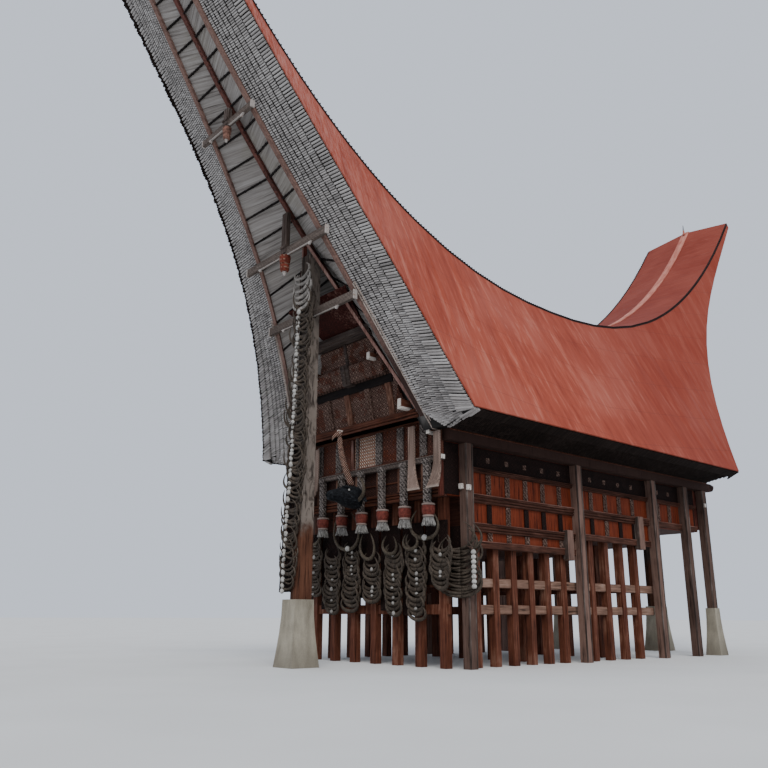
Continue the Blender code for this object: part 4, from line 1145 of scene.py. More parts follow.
# Profiles of a pendant and its tip, as radius and height over the place it hangs from
PENDANT_PROFILE = (
    (0.0, 0.0), (0.112, 0.0), (0.12, -0.008), (0.12, -0.026), (0.114, -0.032), (0.118, -0.05),
    (0.116, -0.10), (0.106, -0.15), (0.104, -0.158), (0.108, -0.162), (0.108, -0.178), (0.09, -0.186),
    (0.086, -0.20), (0.098, -0.208), (0.10, -0.26), (0.094, -0.31), (0.08, -0.342), (0.05, -0.352),
    (0.0, -0.352),
)
PENDANT_TIP_PROFILE = (
    (0.0, -0.345), (0.046, -0.348), (0.05, -0.368), (0.034, -0.39), (0.036, -0.405), (0.022, -0.435),
    (0.0, -0.455),
)


def make_pendant(name, y, top, paint, size):
    """Turned drop of two cups, with a beaded rim round each and a pale tip."""
    drop = turned(name, [(r * size, top + z * size) for r, z in PENDANT_PROFILE], 0, y, 24)
    piece(drop, paint)
    tip = turned(f"{name}_tip", [(r * size, top + z * size) for r, z in PENDANT_TIP_PROFILE], 0, y, 16)
    piece(tip, TIE_STRIP)


# Gable


def gable_half(d, z):
    """Half width under the bamboo at a place on the gable."""
    foot, top = rail_centre(d), soffit_z(d)
    low = foot[1] + RAIL_HIGH
    share = min(1.0, max(0.0, (z - low) / (top - low)))
    return (foot[0] - RAIL_WIDE) * (1 - share) + 0.05 * share - 0.05


def gable_out(z):
    """Outer face of the leaning gable boards, as a distance from the middle."""
    lean = GABLE_HEAD_OUT - GABLE_FOOT_OUT
    return GABLE_FOOT_OUT + lean * (z - GABLE_FOOT) / (GABLE_HEAD - GABLE_FOOT)


def gable_board(name, x_low, x_high, low, high, proud, thick=0.05):
    """Board on the leaning gable, its face a little proud of the boards behind it."""
    a, b = gable_out(low), gable_out(high)
    outline = [(a + proud - thick, low), (a + proud, low), (b + proud, high), (b + proud - thick, high)]
    return slab(name, outline, "X", x_low, x_high, 0.01)


def end_piece(name, parts, end, material):
    """One piece of several parts that were made for the rear, mirrored where it is for the front."""
    obj = joined(name, parts)
    if end < 0:
        begin_edit(obj)
        bpy.ops.transform.mirror(constraint_axis=(False, True, False), center_override=(0, 0, 0))
        end_edit()
    piece(obj, material)


def make_gable_boards(place, end):
    """Pilasters, carved bands, cornice and ledge of one leaning gable."""
    pale, brown = [], []
    for i, x in enumerate(PILASTERS[1:-1]):
        if abs(x) > gable_half(gable_out(5.5), 5.5) - 0.05:
            continue
        boards = pale if i % 2 else brown
        boards.append(gable_board("pilaster", x - 0.085, x + 0.085, 4.86, 5.53, 0.045))
        boards.append(gable_board("pilaster rib", x - 0.03, x + 0.03, 4.90, 5.50, 0.060))
    end_piece(f"gable_pilasters_pale_{place}", pale, end, PALE_PILASTER)
    end_piece(f"gable_pilasters_brown_{place}", brown, end, BROWN_PILASTER)
    half = gable_half(gable_out(5.9), 5.9) - 0.04
    upper = gable_half(gable_out(6.4), 6.4) - 0.04
    bands = [
        gable_board("wide band", -half, -0.13, 5.70, 6.07, 0.16, 0.16),
        gable_board("wide band", 0.13, half, 5.70, 6.07, 0.16, 0.16),
        gable_board("upper panel", -upper, -0.045, 6.10, 6.56, 0.05),
        gable_board("upper panel", 0.045, upper, 6.10, 6.56, 0.05),
    ]
    end_piece(f"gable_carved_bands_{place}", bands, end, GABLE_PANEL)
    grey = [
        gable_board("boss", -0.125, 0.125, 5.66, 6.10, 0.19, 0.19),
        gable_board("boss rib", -0.035, 0.035, 5.68, 6.08, 0.215),
        gable_board("post", -0.04, 0.04, 6.08, 6.58, 0.075),
    ]
    top_half = gable_half(5.5, 6.7) + 0.05
    for low, high, far in ((6.585, 6.66, 5.475), (6.66, 6.73, 5.49), (6.73, 6.815, 5.475)):
        grey.append(block("cornice", (-top_half, 5.28, low), (top_half, far, high), 0.012))
    end_piece(f"gable_cornice_{place}", grey, end, CORNICE)
    shade = gable_board("shadow gap", -half - 0.1, half + 0.1, 5.53, 5.70, 0.03)
    end_piece(f"gable_shadow_gap_{place}", [shade], end, SHADOW)
    rails = []
    for low, high, proud in ((4.68, 4.735, 0.30), (4.74, 4.785, 0.325), (4.79, 4.86, 0.30)):
        reach = gable_half(FACADE + proud, high) - 0.02
        rails.append(block("ledge", (-reach, FACADE - 0.02, low), (reach, FACADE + proud, high), 0.010))
    end_piece(f"gable_ledge_{place}", rails, end, MOULDING_X)


def make_gable_beam_ends(place, end):
    """Beam ends that stand out of the gable, each with a white cap and a white strip under it."""
    ends, caps = [], []
    for side, _ in SIDES:
        for x, low, high, near, far in (
            (1.62, 4.85, 5.05, 4.90, 5.25),
            (2.06, 4.33, 4.53, 4.70, 4.90),
            (0.95, 5.99, 6.13, 5.0, 5.50),
        ):
            a, b = side * x, side * (x + 0.075)
            ends.append(block("beam end", (a, near, low), (b, far, high), 0.006))
            front = (b + side * 0.005, far + 0.02, high + 0.006)
            caps.append(block("cap", (a - side * 0.005, far - 0.01, low - 0.006), front, 0.005))
            strip = (b + side * 0.008, far - 0.01, low + 0.05)
            caps.append(block("foot strip", (a, near + 0.01, low - 0.006), strip, 0.005))
    end_piece(f"gable_beam_ends_{place}", ends, end, BLOCK_SIDE)
    end_piece(f"gable_beam_caps_{place}", caps, end, WHITE_BOARD)


def make_gable_rafters(place, end):
    """Two rafters that rise from the gable's lower corners to the ridge beam, with pink edges."""
    rafters, edges = [], []
    for side, _ in SIDES:
        foot = Vector((side * 2.08, end * 4.92, 4.56))
        head = Vector((side * 0.05, end * 6.45, soffit_z(6.45) - 0.16))
        spot = bar_place(foot, head, (0, end, 0.6), 1.0)
        rafter = block("rafter", (-0.045, -0.025, 0), (0.045, 0.025, 1), 0.006)
        rafters.append(copies("rafter", rafter, [spot]))
        edge = block("edge", (0.035, -0.032, 0), (0.055, 0.032, 1), 0.004)
        edges.append(copies("edge", edge, [spot]))
    piece(joined(f"gable_rafters_{place}", rafters), RAFTER)
    piece(joined(f"gable_rafter_edges_{place}", edges), EDGE_PINK)


def make_gables():
    """Both gables, each leaning forward over its ledge."""
    for end, place in ENDS:
        make_gable_boards(place, end)
        make_gable_beam_ends(place, end)
        make_gable_rafters(place, end)


# Facade


def make_facades():
    """Posts and mouldings on the end walls, and the front window's frame."""
    for end, place in ENDS:
        carved_posts, brown_posts = [], []
        for i, x in enumerate(PILASTERS):
            beside_window = end < 0 and i == 3
            low_x, high_x = (x - 0.07, x + 0.02) if beside_window else (x - 0.10, x + 0.10)
            posts = brown_posts if i in (0, 7) else carved_posts
            posts.append(block("post", (low_x, FACADE, 3.93), (high_x, FACADE + 0.045, 4.66), 0.012))
            low, high = (x - 0.08, FACADE, 3.30), (x + 0.08, FACADE + 0.035, 3.80)
            brown_posts.append(block("post", low, high, 0.012))
        end_piece(f"facade_posts_{place}", carved_posts, end, PILASTER)
        end_piece(f"facade_brown_posts_{place}", brown_posts, end, BROWN_PILASTER)
        rails = []
        for low, high, proud in (
            (3.11, 3.17, 0.06),
            (3.185, 3.235, 0.045),
            (3.25, 3.30, 0.06),
            (3.50, 3.53, 0.025),
            (3.90, 3.95, 0.05),
            (4.63, 4.68, 0.06),
        ):
            half = 2.05 if low > 4.2 else 2.30
            rails.append(block("rail", (-half, FACADE, low), (half, FACADE + proud, high), 0.010))
        end_piece(f"facade_mouldings_{place}", rails, end, MOULDING_X)
        edges = []
        for side, _ in SIDES:
            near, far = (side * 2.25, FACADE - 0.01, 3.12), (side * 2.318, FACADE + 0.09, 4.30)
            edges.append(block("edge", near, far, 0.01))
        end_piece(f"facade_edges_{place}", edges, end, RAFTER)
    frame_parts = [
        block("jamb", (-0.455, -FACADE - 0.03, 3.95), (-0.43, -FACADE + 0.03, 4.62), 0.006),
        block("sill", (-0.44, -FACADE - 0.04, 3.945), (0.36, -FACADE, 3.96), 0.004),
    ]
    piece(joined("window_frame", frame_parts), EDGE_PINK)


# Profile of a pot under a hanging post, as radius and height
POT_PROFILE = (
    (0.0, 3.0), (0.105, 3.0), (0.128, 2.992), (0.133, 2.968), (0.12, 2.955), (0.128, 2.93), (0.132, 2.89),
    (0.126, 2.84), (0.112, 2.79), (0.102, 2.775), (0.112, 2.765), (0.112, 2.742), (0.098, 2.735),
    (0.0, 2.735),
)


def make_hangers():
    """Carved rail with hanging posts, each ending in a pot and a fringe."""
    back = -FACADE - 0.0003
    rail = block("facade_rail", (-2.37, back - 0.12, 3.80), (2.37, back, 3.91), 0.012)
    lip = block("facade_rail_lip", (-2.37, back - 0.135, 3.875), (2.37, back - 0.01, 3.905), 0.008)
    piece(joined("facade_rail", [rail, lip]), RAIL_GREY, ["facade_hanging_posts"])
    caps = []
    for side, _ in SIDES:
        inner, outer = (side * 2.365, back - 0.115, 3.815), (side * 2.385, back - 0.01, 3.90)
        caps.append(block("cap", inner, outer, 0.005))
    piece(joined("facade_rail_caps", caps), CREAM)
    front = back - 0.17
    inside, pot_y = front + 0.10, front + 0.075
    posts, pots, fringes = [], [], []
    for i in range(7):
        x = FACADE_SPACING * (i - 3)
        posts.append(block("post", (x - 0.08, front, 2.985), (x + 0.08, inside, 3.83), 0.014))
        posts.append(block("post head", (x - 0.095, front - 0.012, 3.76), (x + 0.095, inside, 3.86), 0.012))
        pots.append(turned("pot", POT_PROFILE, x, pot_y))
        fringes.append(make_fringe(x, pot_y))
    piece(joined("hanging_posts", posts), HANGER)
    piece(joined("hanging_pots", pots), POT)
    piece(joined("hanging_fringes", fringes), FRINGE)


def make_fringe(x, y):
    """A skirt of strands that spreads downward."""
    add, count = bpy.ops.mesh.primitive_cone_add, 26
    shape = {"vertices": 5, "radius1": 0.012, "radius2": 0.007, "depth": 0.175}
    strand = primitive(add, "strand", location=(0, 0, -0.0875), **shape)
    places = []
    for i in range(count):
        round_pot = shift(x, y, 2.742) @ turn(math.tau * i / count, "Z") @ shift(0.088, 0, 0)
        spread = turn(-draw.uniform(0.12, 0.30), "Y")
        places.append(round_pot @ spread @ sized(1, 1, draw.uniform(0.9, 1.02)))
    return copies("fringe", strand, places)


def plank_section(side, x_top, x_foot, top, share):
    """One height of a long plank whose lower end sweeps forward and outward, as in the solid."""
    z = top + (PLANK_FOOT - top) * share
    below = max(0.0, (PLANK_BEND - z) / (PLANK_BEND - PLANK_FOOT))
    x = side * (x_top + (x_foot - x_top) * below**2)
    y = RAIL_FRONT - 0.20 * below**2
    half = 0.09 + 0.055 * below
    flare = 1 + 0.12 * max(0.0, share - 0.8) / 0.2
    edge = [(half, -0.030), (half - 0.02, -0.045), (half - 0.035, -0.032)]
    outline = [(-half, 0), (half, 0)] + edge + [(-dx, dy) for dx, dy in reversed(edge)]
    return [(x + dx * flare, y + dy, z) for dx, dy in outline]


def make_ear_planks():
    """Four long planks that sweep forward, two at each side of the front wall."""
    steps = 18
    for side, word in SIDES:
        for name, x_top, x_foot, top in (("inner", 1.58, 1.84, 4.56), ("outer", 2.29, 2.34, 4.36)):
            rings = [plank_section(side, x_top, x_foot, top, i / steps) for i in range(steps + 1)]
            plank = loft(f"plank_{word}_{name}", rings, angle=25)
            piece(plank, EAR, [f"ear_plank_{word}_{name}"])


# Bird, buffalo head and horns


def oval(centre, wide, high, high_axis):
    """A ring of ten points round a centre, in the plane of X and the given axis."""
    ring = []
    for i in range(10):
        angle = math.tau * i / 10
        step = Vector(high_axis) * (high * math.sin(angle))
        ring.append(tuple(Vector(centre) + Vector((wide * math.cos(angle), 0, 0)) + step))
    return ring


def ball(name, segments, rings, radius, place=(0, 0, 0), scale=(1, 1, 1)):
    add = bpy.ops.mesh.primitive_uv_sphere_add
    obj = primitive(add, name, scale, segments=segments, ring_count=rings, radius=radius, location=place)
    return smooth(obj)


def make_bird():
    """Bird neck that rises from the buffalo head, with a crested head and a curved beak."""
    foot_y = RAIL_FRONT - 0.05 - 0.20
    rings = []
    for i in range(11):
        share = i / 10
        y = foot_y - 0.34 * math.sin(share * math.pi / 2)
        z = 3.52 + 1.02 * share
        wide = 0.052 + 0.012 * math.sin(share * math.pi)
        deep = 0.088 * (1 - 0.42 * share)
        rings.append(oval((0, y, z), wide, deep, (0, 1, 0.25)))
    neck = loft("bird_neck_carved", rings, subdivide=1)
    top_y = foot_y - 0.34
    head_rings = []
    for along, wide, high, rise in (
        (0.055, 0.018, 0.03, 0.0),
        (0.03, 0.045, 0.065, 0.01),
        (-0.03, 0.052, 0.075, 0.015),
        (-0.08, 0.042, 0.06, 0.0),
        (-0.12, 0.026, 0.042, -0.03),
        (-0.17, 0.018, 0.03, -0.075),
        (-0.20, 0.012, 0.02, -0.125),
        (-0.205, 0.005, 0.008, -0.165),
    ):
        lean = -0.35 if along < -0.1 else 0
        head_rings.append(oval((0, top_y + along, 4.575 + rise), wide, high, (0, lean, 1)))
    head = loft("bird head", head_rings, subdivide=1)
    piece(joined("bird_carved", [neck, head]), NECK, ["bird_neck"])
    crest = []
    for i in range(4):
        base = Vector((0, top_y + 0.04 - 0.035 * i, 4.63))
        bend = [base, base + Vector((0, 0.015, 0.03)), base + Vector((0, 0.045, 0.035 + 0.004 * i))]
        crest.append(tube("crest", bend, (0.016, 0.012, 0.004)))
    for side, _ in SIDES:
        crest.append(ball("eye", 12, 8, 0.013, (side * 0.046, top_y - 0.035, 4.60), (0.6, 1, 1)))
    piece(joined("bird_crest", crest), CREAM)


def horn_pair(half, lift, thick, resolution=1, steps=9, curl=0.18):
    """Two tapered horns on one boss. They spread level, then curve up and in. Its middle is at the origin."""
    horns = []
    for side, _ in SIDES:
        points, radii = [], []
        for i in range(steps + 1):
            t = i / steps
            angle = -math.pi / 2 + t * (math.pi / 2 + 0.75)
            x = half * (math.cos(angle) * (1 - curl * t * t))
            z = lift * (1 + math.sin(angle)) * 0.62
            points.append((side * x, -0.02 * math.sin(t * 3), z))
            radii.append(thick * (1 - t) ** 0.65 + 0.003)
        horns.append(tube("horn", points, radii, resolution))
    return joined("horns", horns)


def make_buffalo_head():
    """Black buffalo head against the middle hanging post, with ears, brow, muzzle and real horns."""
    back, corners, squareness = RAIL_FRONT - 0.0503, 12, 0.86
    rings = []
    for forward, half, low, high in (
        (0.0, 0.17, -0.46, -0.06),
        (0.06, 0.215, -0.49, -0.015),
        (0.14, 0.225, -0.50, -0.005),
        (0.26, 0.235, -0.485, -0.005),
        (0.36, 0.22, -0.46, -0.02),
        (0.46, 0.18, -0.42, -0.05),
        (0.58, 0.135, -0.385, -0.10),
        (0.68, 0.115, -0.375, -0.13),
        (0.76, 0.118, -0.375, -0.15),
        (0.81, 0.10, -0.35, -0.17),
    ):
        middle, half_high = 3.54 + (low + high) / 2, (high - low) / 2
        ring = []
        for i in range(corners):
            c, s = math.cos(math.tau * i / corners), math.sin(math.tau * i / corners)
            x = half * math.copysign(abs(c) ** squareness, c)
            z = middle + half_high * math.copysign(abs(s) ** squareness, s)
            ring.append((x, back - forward, z))
        rings.append(ring)
    parts = [loft("buffalo", rings, subdivide=1)]
    for side, _ in SIDES:
        for name, radii, path in (
            ("ear", (0.030, 0.055, 0.008), ((0.19, 0.10, 3.28), (0.30, 0.11, 3.24), (0.40, 0.12, 3.16))),
            ("brow", (0.012, 0.026, 0.012), ((0.06, 0.50, 3.485), (0.15, 0.44, 3.475), (0.205, 0.36, 3.42))),
            ("nostril", (0.010, 0.016, 0.008), ((0.045, 0.80, 3.3), (0.07, 0.815, 3.28), (0.06, 0.80, 3.25))),
        ):
            parts.append(tube(name, [(side * x, back - forward, z) for x, forward, z in path], radii))
    piece(joined("buffalo_carved", parts), BUFFALO, ["buffalo_head"])
    eyes = [ball("eye", 14, 10, 0.024, (side * 0.19, back - 0.42, 3.405)) for side, _ in SIDES]
    piece(joined("buffalo_eyes", eyes), BONE)
    pair = horn_pair(0.46, 0.50, 0.05, 2, 12)
    horns = copies("buffalo_horns", pair, [shift(0, back - 0.14, 3.20) @ turn(0.25, "X")])
    piece(horns, HORN_DARK)


def skull_disc(name):
    """Small rounded bone, broader at its foot."""
    disc = ball(name, 10, 6, 1)
    for vertex in disc.data.vertices:
        vertex.co.x *= 1 - 0.22 * vertex.co.z
    return disc


# Lower and upper end of each column of horns, from left to right
HORN_STACKS = (
    (1.35, 2.62), (0.98, 2.30), (1.02, 2.44), (1.20, 2.18), (0.95, 2.30), (0.86, 2.40), (1.42, 2.34),
)


def make_facade_horns():
    """Columns of nested horn pairs under the facade, with bones between them and boards behind them."""
    back = HORN_STACK_BACK
    boards, places, bones = [], [], []
    for i, (foot, top) in enumerate(HORN_STACKS):
        x = FACADE_SPACING * (i - 3) + 0.12
        low, high = (x - 0.52, back - 0.03, foot + 0.08), (x + 0.07, back - 0.005, 2.70)
        boards.append(block("board", low, high, 0.006))
        z = foot
        while z < top - 0.2:
            size = draw.uniform(0.82, 1.12)
            tilt = turn(draw.uniform(-0.12, 0.12), "Y") @ turn(draw.uniform(0.05, 0.35), "X")
            spot = shift(x + draw.uniform(-0.02, 0.02), back - 0.085 - draw.uniform(0, 0.03), z)
            places.append(spot @ tilt @ sized(size, 1, draw.uniform(0.9, 1.3)))
            if draw.random() < 0.42:
                size = draw.uniform(0.026, 0.045)
                bones.append(spot @ shift(0, -0.05, 0.03) @ sized(size, 0.03, size * draw.uniform(0.7, 1.1)))
            z += draw.uniform(0.075, 0.105)
    stacks = [f"horn_stack_{i + 1}" for i in range(len(HORN_STACKS))]
    piece(copies("facade_horns", horn_pair(0.265, 0.27, 0.040), places), HORN_BLACK, stacks)
    piece(joined("facade_horn_boards", boards), SIDE_DARK)
    piece(copies("facade_bones", skull_disc("bone"), bones), BONE_DULL)


def make_wide_horns():
    """A few wide pairs of horns on top of the columns, three of them with a pale boss."""
    wide = []
    for x, z, half, lift, lean in (
        (-1.96, 2.46, 0.44, 0.62, 0.1),
        (-0.62, 2.28, 0.50, 0.74, -0.05),
        (0.05, 2.05, 0.27, 0.50, 0.0),
        (1.74, 2.36, 0.46, 0.52, 0.05),
        (0.72, 2.12, 0.25, 0.34, 0.1),
        (1.36, 2.18, 0.24, 0.30, -0.1),
    ):
        pair = horn_pair(half, lift, 0.040, steps=14, curl=0.42)
        spot = shift(x, HORN_STACK_BACK - 0.17, z) @ turn(lean, "Y") @ turn(0.12, "X")
        wide.append(copies("wide", pair, [spot]))
    piece(joined("facade_wide_horns", wide), HORN_DARK)
    bosses = []
    for x, z in ((-0.62, 2.30), (1.74, 2.38), (-1.96, 2.48)):
        bosses.append(shift(x, HORN_STACK_BACK - 0.20, z) @ sized(0.07, 0.05, 0.06))
    piece(copies("facade_wide_bosses", skull_disc("boss"), bosses), BONE)


CORD_RADIUS = 0.012


def chain_x(z):
    """Place of the string of bones beside the centre post, which hangs a little outward below."""
    return float(np.interp(z, (1.3, 2.5, 3.1, 4.2, 5.6, 7.0), (-0.31, -0.25, -0.20, -0.13, -0.11, -0.07)))


def make_centre_post_horns():
    """Horns and jaw bones on a string down the front of the centre post, over a board low down."""
    front = CENTRE_POST_FRONT
    places = []
    z = 1.42
    while z < 7.2:
        size = draw.uniform(0.62, 1.10) * (1.0 if z > 3.2 else 0.85)
        tilt = turn(draw.uniform(-0.34, 0.22), "Y") @ turn(draw.uniform(0.0, 0.4), "X")
        spot = shift(chain_x(z) + draw.uniform(0.13, 0.23), front - 0.045, z)
        places.append(spot @ tilt @ sized(size, 1, size * draw.uniform(0.8, 1.4)))
        z += draw.uniform(0.05, 0.13)
    horns = copies("centre_post_horns", horn_pair(0.34, 0.34, 0.030), places)
    piece(horns, HORN_BLACK, ["horn_stack_centre_post"])
    places = []
    for i in range(6):
        size = draw.uniform(0.82, 1.05)
        tilt = turn(draw.uniform(-0.28, 0.05), "Y") @ turn(0.15, "X")
        spot = shift(0.06 + draw.uniform(-0.04, 0.04), front - 0.05, 7.12 + 0.14 * i)
        places.append(spot @ tilt @ sized(size, 1, size))
    piece(copies("centre_post_pale_horns", horn_pair(0.34, 0.30, 0.046), places), HORN_PALE)
    places = []
    z = 7.05
    while z > 1.32:
        turned_aside = turn(draw.uniform(-0.8, 0.8), "Y")
        wide, tall = draw.uniform(0.030, 0.062), draw.uniform(0.034, 0.066)
        spot = shift(chain_x(z) + draw.uniform(-0.012, 0.012), front - 0.085, z)
        places.append(spot @ turned_aside @ sized(wide, 0.04, tall))
        z -= tall * draw.uniform(1.75, 2.5)
    piece(copies("centre_post_jaws", skull_disc("jaw"), places), BONE)
    outline = [(chain_x(z) - 0.20, z) for z in (1.36, 2.5, 3.1, 4.3)] + [(-0.12, 4.3), (-0.12, 1.36)]
    board = slab("centre_post_board", outline, "Y", front - 0.02, front + 0.02, 0.006)
    piece(board, SIDE_DARK)
    path = [(chain_x(z), front - 0.07, z) for z in (8.0, 7.0, 5.6, 4.2, 3.1, 2.5, 1.35)]
    piece(tube("centre_post_cord", path, [CORD_RADIUS] * len(path)), POST_DARK)


def make_side_post_horns():
    """Horns round each first side post, with a board behind them and small skulls on a string."""
    for side, word in SIDES:
        places = []
        for i in range(16):
            size = draw.uniform(0.72, 1.05)
            aside = turn(side * draw.uniform(0.1, 0.5), "Z") @ turn(draw.uniform(-0.1, 0.3), "X")
            lean = turn(side * draw.uniform(-0.22, 0.1), "Y")
            spot = shift(side * 2.355, -4.33, 1.28 + 0.058 * i)
            places.append(spot @ aside @ lean @ sized(size, 1, size * 0.9))
        pair = horn_pair(0.50, 0.56, 0.036, steps=12, curl=0.3)
        piece(copies(f"post_horns_{word}", pair, places), HORN_BLACK)
        low, high = (side * 1.86, -4.215, 1.42), (side * 2.30, -4.19, 2.60)
        piece(block(f"post_horn_board_{word}", low, high, 0.006), SIDE_DARK)
        skulls = [shift(side * 2.76, -4.42, 1.45 + 0.088 * i) @ sized(0.058, 0.036, 0.046) for i in range(8)]
        piece(copies(f"post_skulls_{word}", skull_disc("skull"), skulls), BONE)
        path = [(side * 2.50, -4.33, 2.20), (side * 2.72, -4.41, 2.14), (side * 2.76, -4.42, 1.43)]
        piece(tube(f"post_skull_cord_{word}", path, [CORD_RADIUS] * len(path)), POST_DARK)


# Sides


def side_moulding(name, side, start, finish, low, high):
    """A beam along the side wall with three rounded ridges, cut as one outline and extruded."""
    outline = [(side * WALL, low)]
    step = (high - low) / 3
    for ridge in range(3):
        base = low + ridge * step
        for share, proud in ((0.05, 0.030), (0.25, 0.058), (0.60, 0.064), (0.90, 0.040)):
            outline.append((side * (WALL + proud + 0.01 * ridge), base + step * share))
    outline.append((side * WALL, high))
    return slab(name, outline, "Y", start, finish)


def wall_board(name, side, proud, start, finish, low, high, bevel):
    """A board on a side wall that stands a little proud of it."""
    return block(name, (side * WALL, start, low), (side * (WALL + proud), finish, high), bevel)


# Each bay of a side wall: its ends, the lower and upper edges of its panels, its pilasters and its foot
BAYS = (
    (-4.05, -0.72, (2.31, 2.52, 2.66, 3.05, 3.22, 3.66), [-3.46 + 0.575 * i for i in range(5)], 2.19),
    (-0.52, 2.36, (2.68, 3.05, 3.22, 3.66), [0.02 + 0.565 * i for i in range(4)], 2.55),
    (2.56, 4.70, (3.22, 3.66), [2.89, 3.42, 4.35], 3.07),
)
# Outlines, as (y, z), of the board that ends a side wall at the rear, and of the wall plate's rear tip
REAR_WING = (
    (4.72, 4.17), (5.30, 4.17), (5.32, 3.9), (5.30, 3.6), (5.24, 3.42), (5.12, 3.26), (4.95, 3.15),
    (4.72, 3.11),
)
PLATE_TIP = (
    (5.14, 4.18), (5.14, 4.395), (5.40, 4.395), (5.57, 4.36), (5.56, 4.29), (5.49, 4.21), (5.36, 4.18),
)


def make_side_wall(side, word):
    """Beams, pilasters, panels and lines on one side wall."""
    beams, pale, dark, boards, lines = [], [], [], [], []
    for start, finish, levels, pilasters, foot in BAYS:
        boards.append(wall_board("foot board", side, 0.06, start, finish, foot, foot + 0.125, 0.010))
        lines.append(wall_board("line", side, 0.072, start, finish, foot + 0.118, foot + 0.140, 0.005))
        for low, high in zip(levels[::2], levels[1::2]):
            if low > foot + 0.3:
                beams.append(side_moulding("beam", side, start, finish, low - 0.165, low))
                lines.append(wall_board("line", side, 0.088, start, finish, low - 0.008, low + 0.010, 0.004))
            for i, y in enumerate(pilasters):
                strong = low > 3.1 or i == 1 or low < 2.4
                target = pale if strong else dark
                target.append(wall_board("pilaster", side, 0.028, y - 0.07, y + 0.07, low, high, 0.008))
                if strong:
                    ends = y - 0.022, y + 0.022, low + 0.03, high - 0.03
                    target.append(wall_board("pilaster rib", side, 0.042, *ends, 0.006))
        for y in pilasters:
            pale.append(wall_board("rosette", side, 0.030, y - 0.055, y + 0.055, 3.885, 3.995, 0.018))
        beams.append(side_moulding("head beam", side, start, finish, 3.66, 3.76))
        dark.append(wall_board("frieze", side, 0.018, start, finish, 3.76, WALL_TOP, 0.006))
    dark.append(wall_board("first panel", side, 0.012, -4.70, -4.30, 3.16, WALL_TOP, 0.004))
    piece(joined(f"side_mouldings_{word}", beams + boards), MOULDING)
    piece(joined(f"side_lines_{word}", lines), SIDE_LINE)
    piece(joined(f"side_pilasters_{word}", pale), PALE_PILASTER)
    piece(joined(f"side_friezes_{word}", dark), SIDE_DARK)


def make_sides():
    """Both side walls, with tenons, hung blocks, the rear board and the wall plate's line and tip."""
    for side, word in SIDES:
        make_side_wall(side, word)
        tenon_root = side * (POST_OUT - 0.01)
        tenons = [
            block("tenon", (side * 2.335, -4.34, 3.28), (side * 2.43, -4.275, 3.385), 0.008),
            block("tenon", (tenon_root, -4.30, 3.25), (side * (POST_OUT + 0.045), -4.20, 3.355), 0.008),
            block("tenon", (tenon_root, 4.90, 3.73), (side * (POST_OUT + 0.035), 4.99, 3.83), 0.008),
        ]
        piece(joined(f"post_tenons_{word}", tenons), CREAM)
        hung, faces = [], []
        for start, finish, low, high in ((-1.12, -0.90, 2.08, 2.72), (1.72, 1.95, 2.46, 3.24)):
            near, far = (side * WALL, start + 0.012, low), (side * 2.47, finish, high)
            hung.append(block("hung block", near, far, 0.012))
            near, far = (side * 2.33, start, low + 0.02), (side * 2.465, start + 0.014, high - 0.01)
            faces.append(block("hung face", near, far, 0.004))
        piece(joined(f"hung_blocks_{word}", hung), POST_DARK)
        piece(joined(f"hung_faces_{word}", faces), KING_GREY)
        wing = slab(f"rear_wing_{word}", REAR_WING, "X", side * 2.235, side * 2.30, 0.008)
        piece(wing, RAFTER)
        tip = slab(f"plate_tip_{word}", PLATE_TIP, "X", side * 2.20, side * 2.52, 0.012)
        piece(tip, PLATE_DARK)
        line = block(f"plate_line_{word}", (side * 2.52, -4.74, 4.365), (side * 2.545, 5.15, 4.395), 0.006)
        piece(line, MOULDING_X)


def make_post_edges():
    """Pale worn corner strips on the side posts, and two rails through the piers."""
    for side, word in SIDES:
        strips = []
        outer = side * (POST_OUT + 0.001)
        for y in (-4.19, -0.62, 2.46, 4.00, 4.98):
            low = 1.16 if y > 4.5 else 0.02
            for near, far in ((y + 0.062, y + 0.099), (y - 0.099, y - 0.072)):
                corners = (outer - side * 0.030, near, low), (outer + side * 0.004, far, WALL_TOP)
                strips.append(block("corner", *corners, 0.004))
        piece(joined(f"post_corners_{word}", strips), KING_GREY)
        rails = []
        for z in (1.05, 1.55):
            near, far = (side * 2.145, -3.98, z - 0.085), (side * 2.255, 2.46, z + 0.085)
            rails.append(block("through rail", near, far, 0.012))
        piece(joined(f"through_rails_{word}", rails), RAIL_PALE)


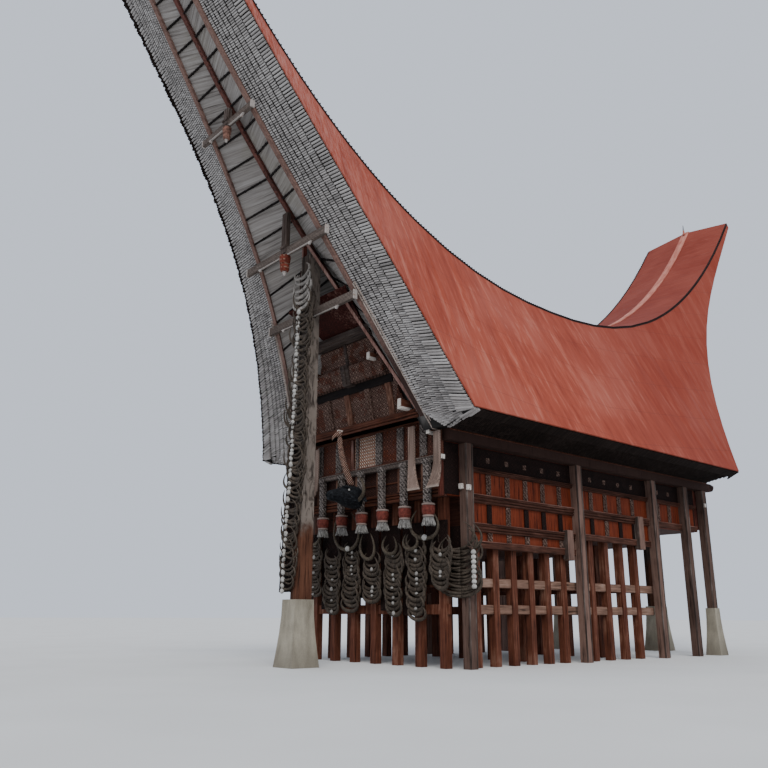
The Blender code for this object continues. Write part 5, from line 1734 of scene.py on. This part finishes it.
paint_solids()
make_culms()
make_left_edge_shade()
make_soffit_poles()
make_rail_rods()
make_crease_edges()
make_ties()
make_gables()
make_facades()
make_hangers()
make_ear_planks()
make_bird()
make_buffalo_head()
make_facade_horns()
make_wide_horns()
make_centre_post_horns()
make_side_post_horns()
make_sides()
make_post_edges()


# Stage, light and camera


def make_stage():
    """A pale floor, an even sky and one soft lamp from the front right."""
    ground = primitive(bpy.ops.mesh.primitive_plane_add, "studio_floor", size=400, location=(0, 0, -0.002))
    paint = Paint("studio_floor")
    mottle = paint.noise(paint.place, 0.4, 2)
    colour = paint.ramp(mottle, (0.3, (0.60, 0.60, 0.59)), (0.7, (0.64, 0.64, 0.63)))
    ground.data.materials.append(paint.finish(colour, 0.9, mottle, 0.001))
    world = bpy.data.worlds.new("studio")
    world.use_nodes = True
    background = world.node_tree.nodes["Background"]
    background.inputs["Color"].default_value = (0.80, 0.87, 1.0, 1)
    background.inputs["Strength"].default_value = 0.95
    bpy.context.scene.world = world
    lamp = bpy.data.lights.new("soft_key", "SUN")
    lamp.energy = 2.4
    lamp.angle = math.radians(35)
    lamp.color = (1.0, 0.98, 0.95)
    key = bpy.data.objects.new("soft_key", lamp)
    key.rotation_euler = Vector((0.55, -0.45, 0.72)).to_track_quat("Z", "Y").to_euler()
    bpy.context.scene.collection.objects.link(key)


def make_camera():
    """The photograph's place and direction, with a focal length of 795.4 pixels in its 768 pixel frame."""
    yaw, pitch, roll = math.radians(48.89), math.radians(16.20), math.radians(0.24)
    forward = Vector((-math.sin(yaw) * math.cos(pitch), math.cos(yaw) * math.cos(pitch), math.sin(pitch)))
    right = forward.cross(UP).normalized()
    above = right.cross(forward)
    turned_right = right * math.cos(roll) + above * math.sin(roll)
    turned_up = above * math.cos(roll) - right * math.sin(roll)
    data = bpy.data.cameras.new("photo_camera")
    data.sensor_width = 36.0
    data.lens = data.sensor_width * 795.4 / 768
    data.clip_end = 1000
    camera = bpy.data.objects.new("photo_camera", data)
    facing = Matrix((turned_right, turned_up, -forward)).transposed()
    camera.matrix_world = shift(12.9, -15.467, 0.9417) @ facing.to_4x4()
    bpy.context.scene.collection.objects.link(camera)
    bpy.context.scene.camera = camera


make_stage()
make_camera()
deselect()
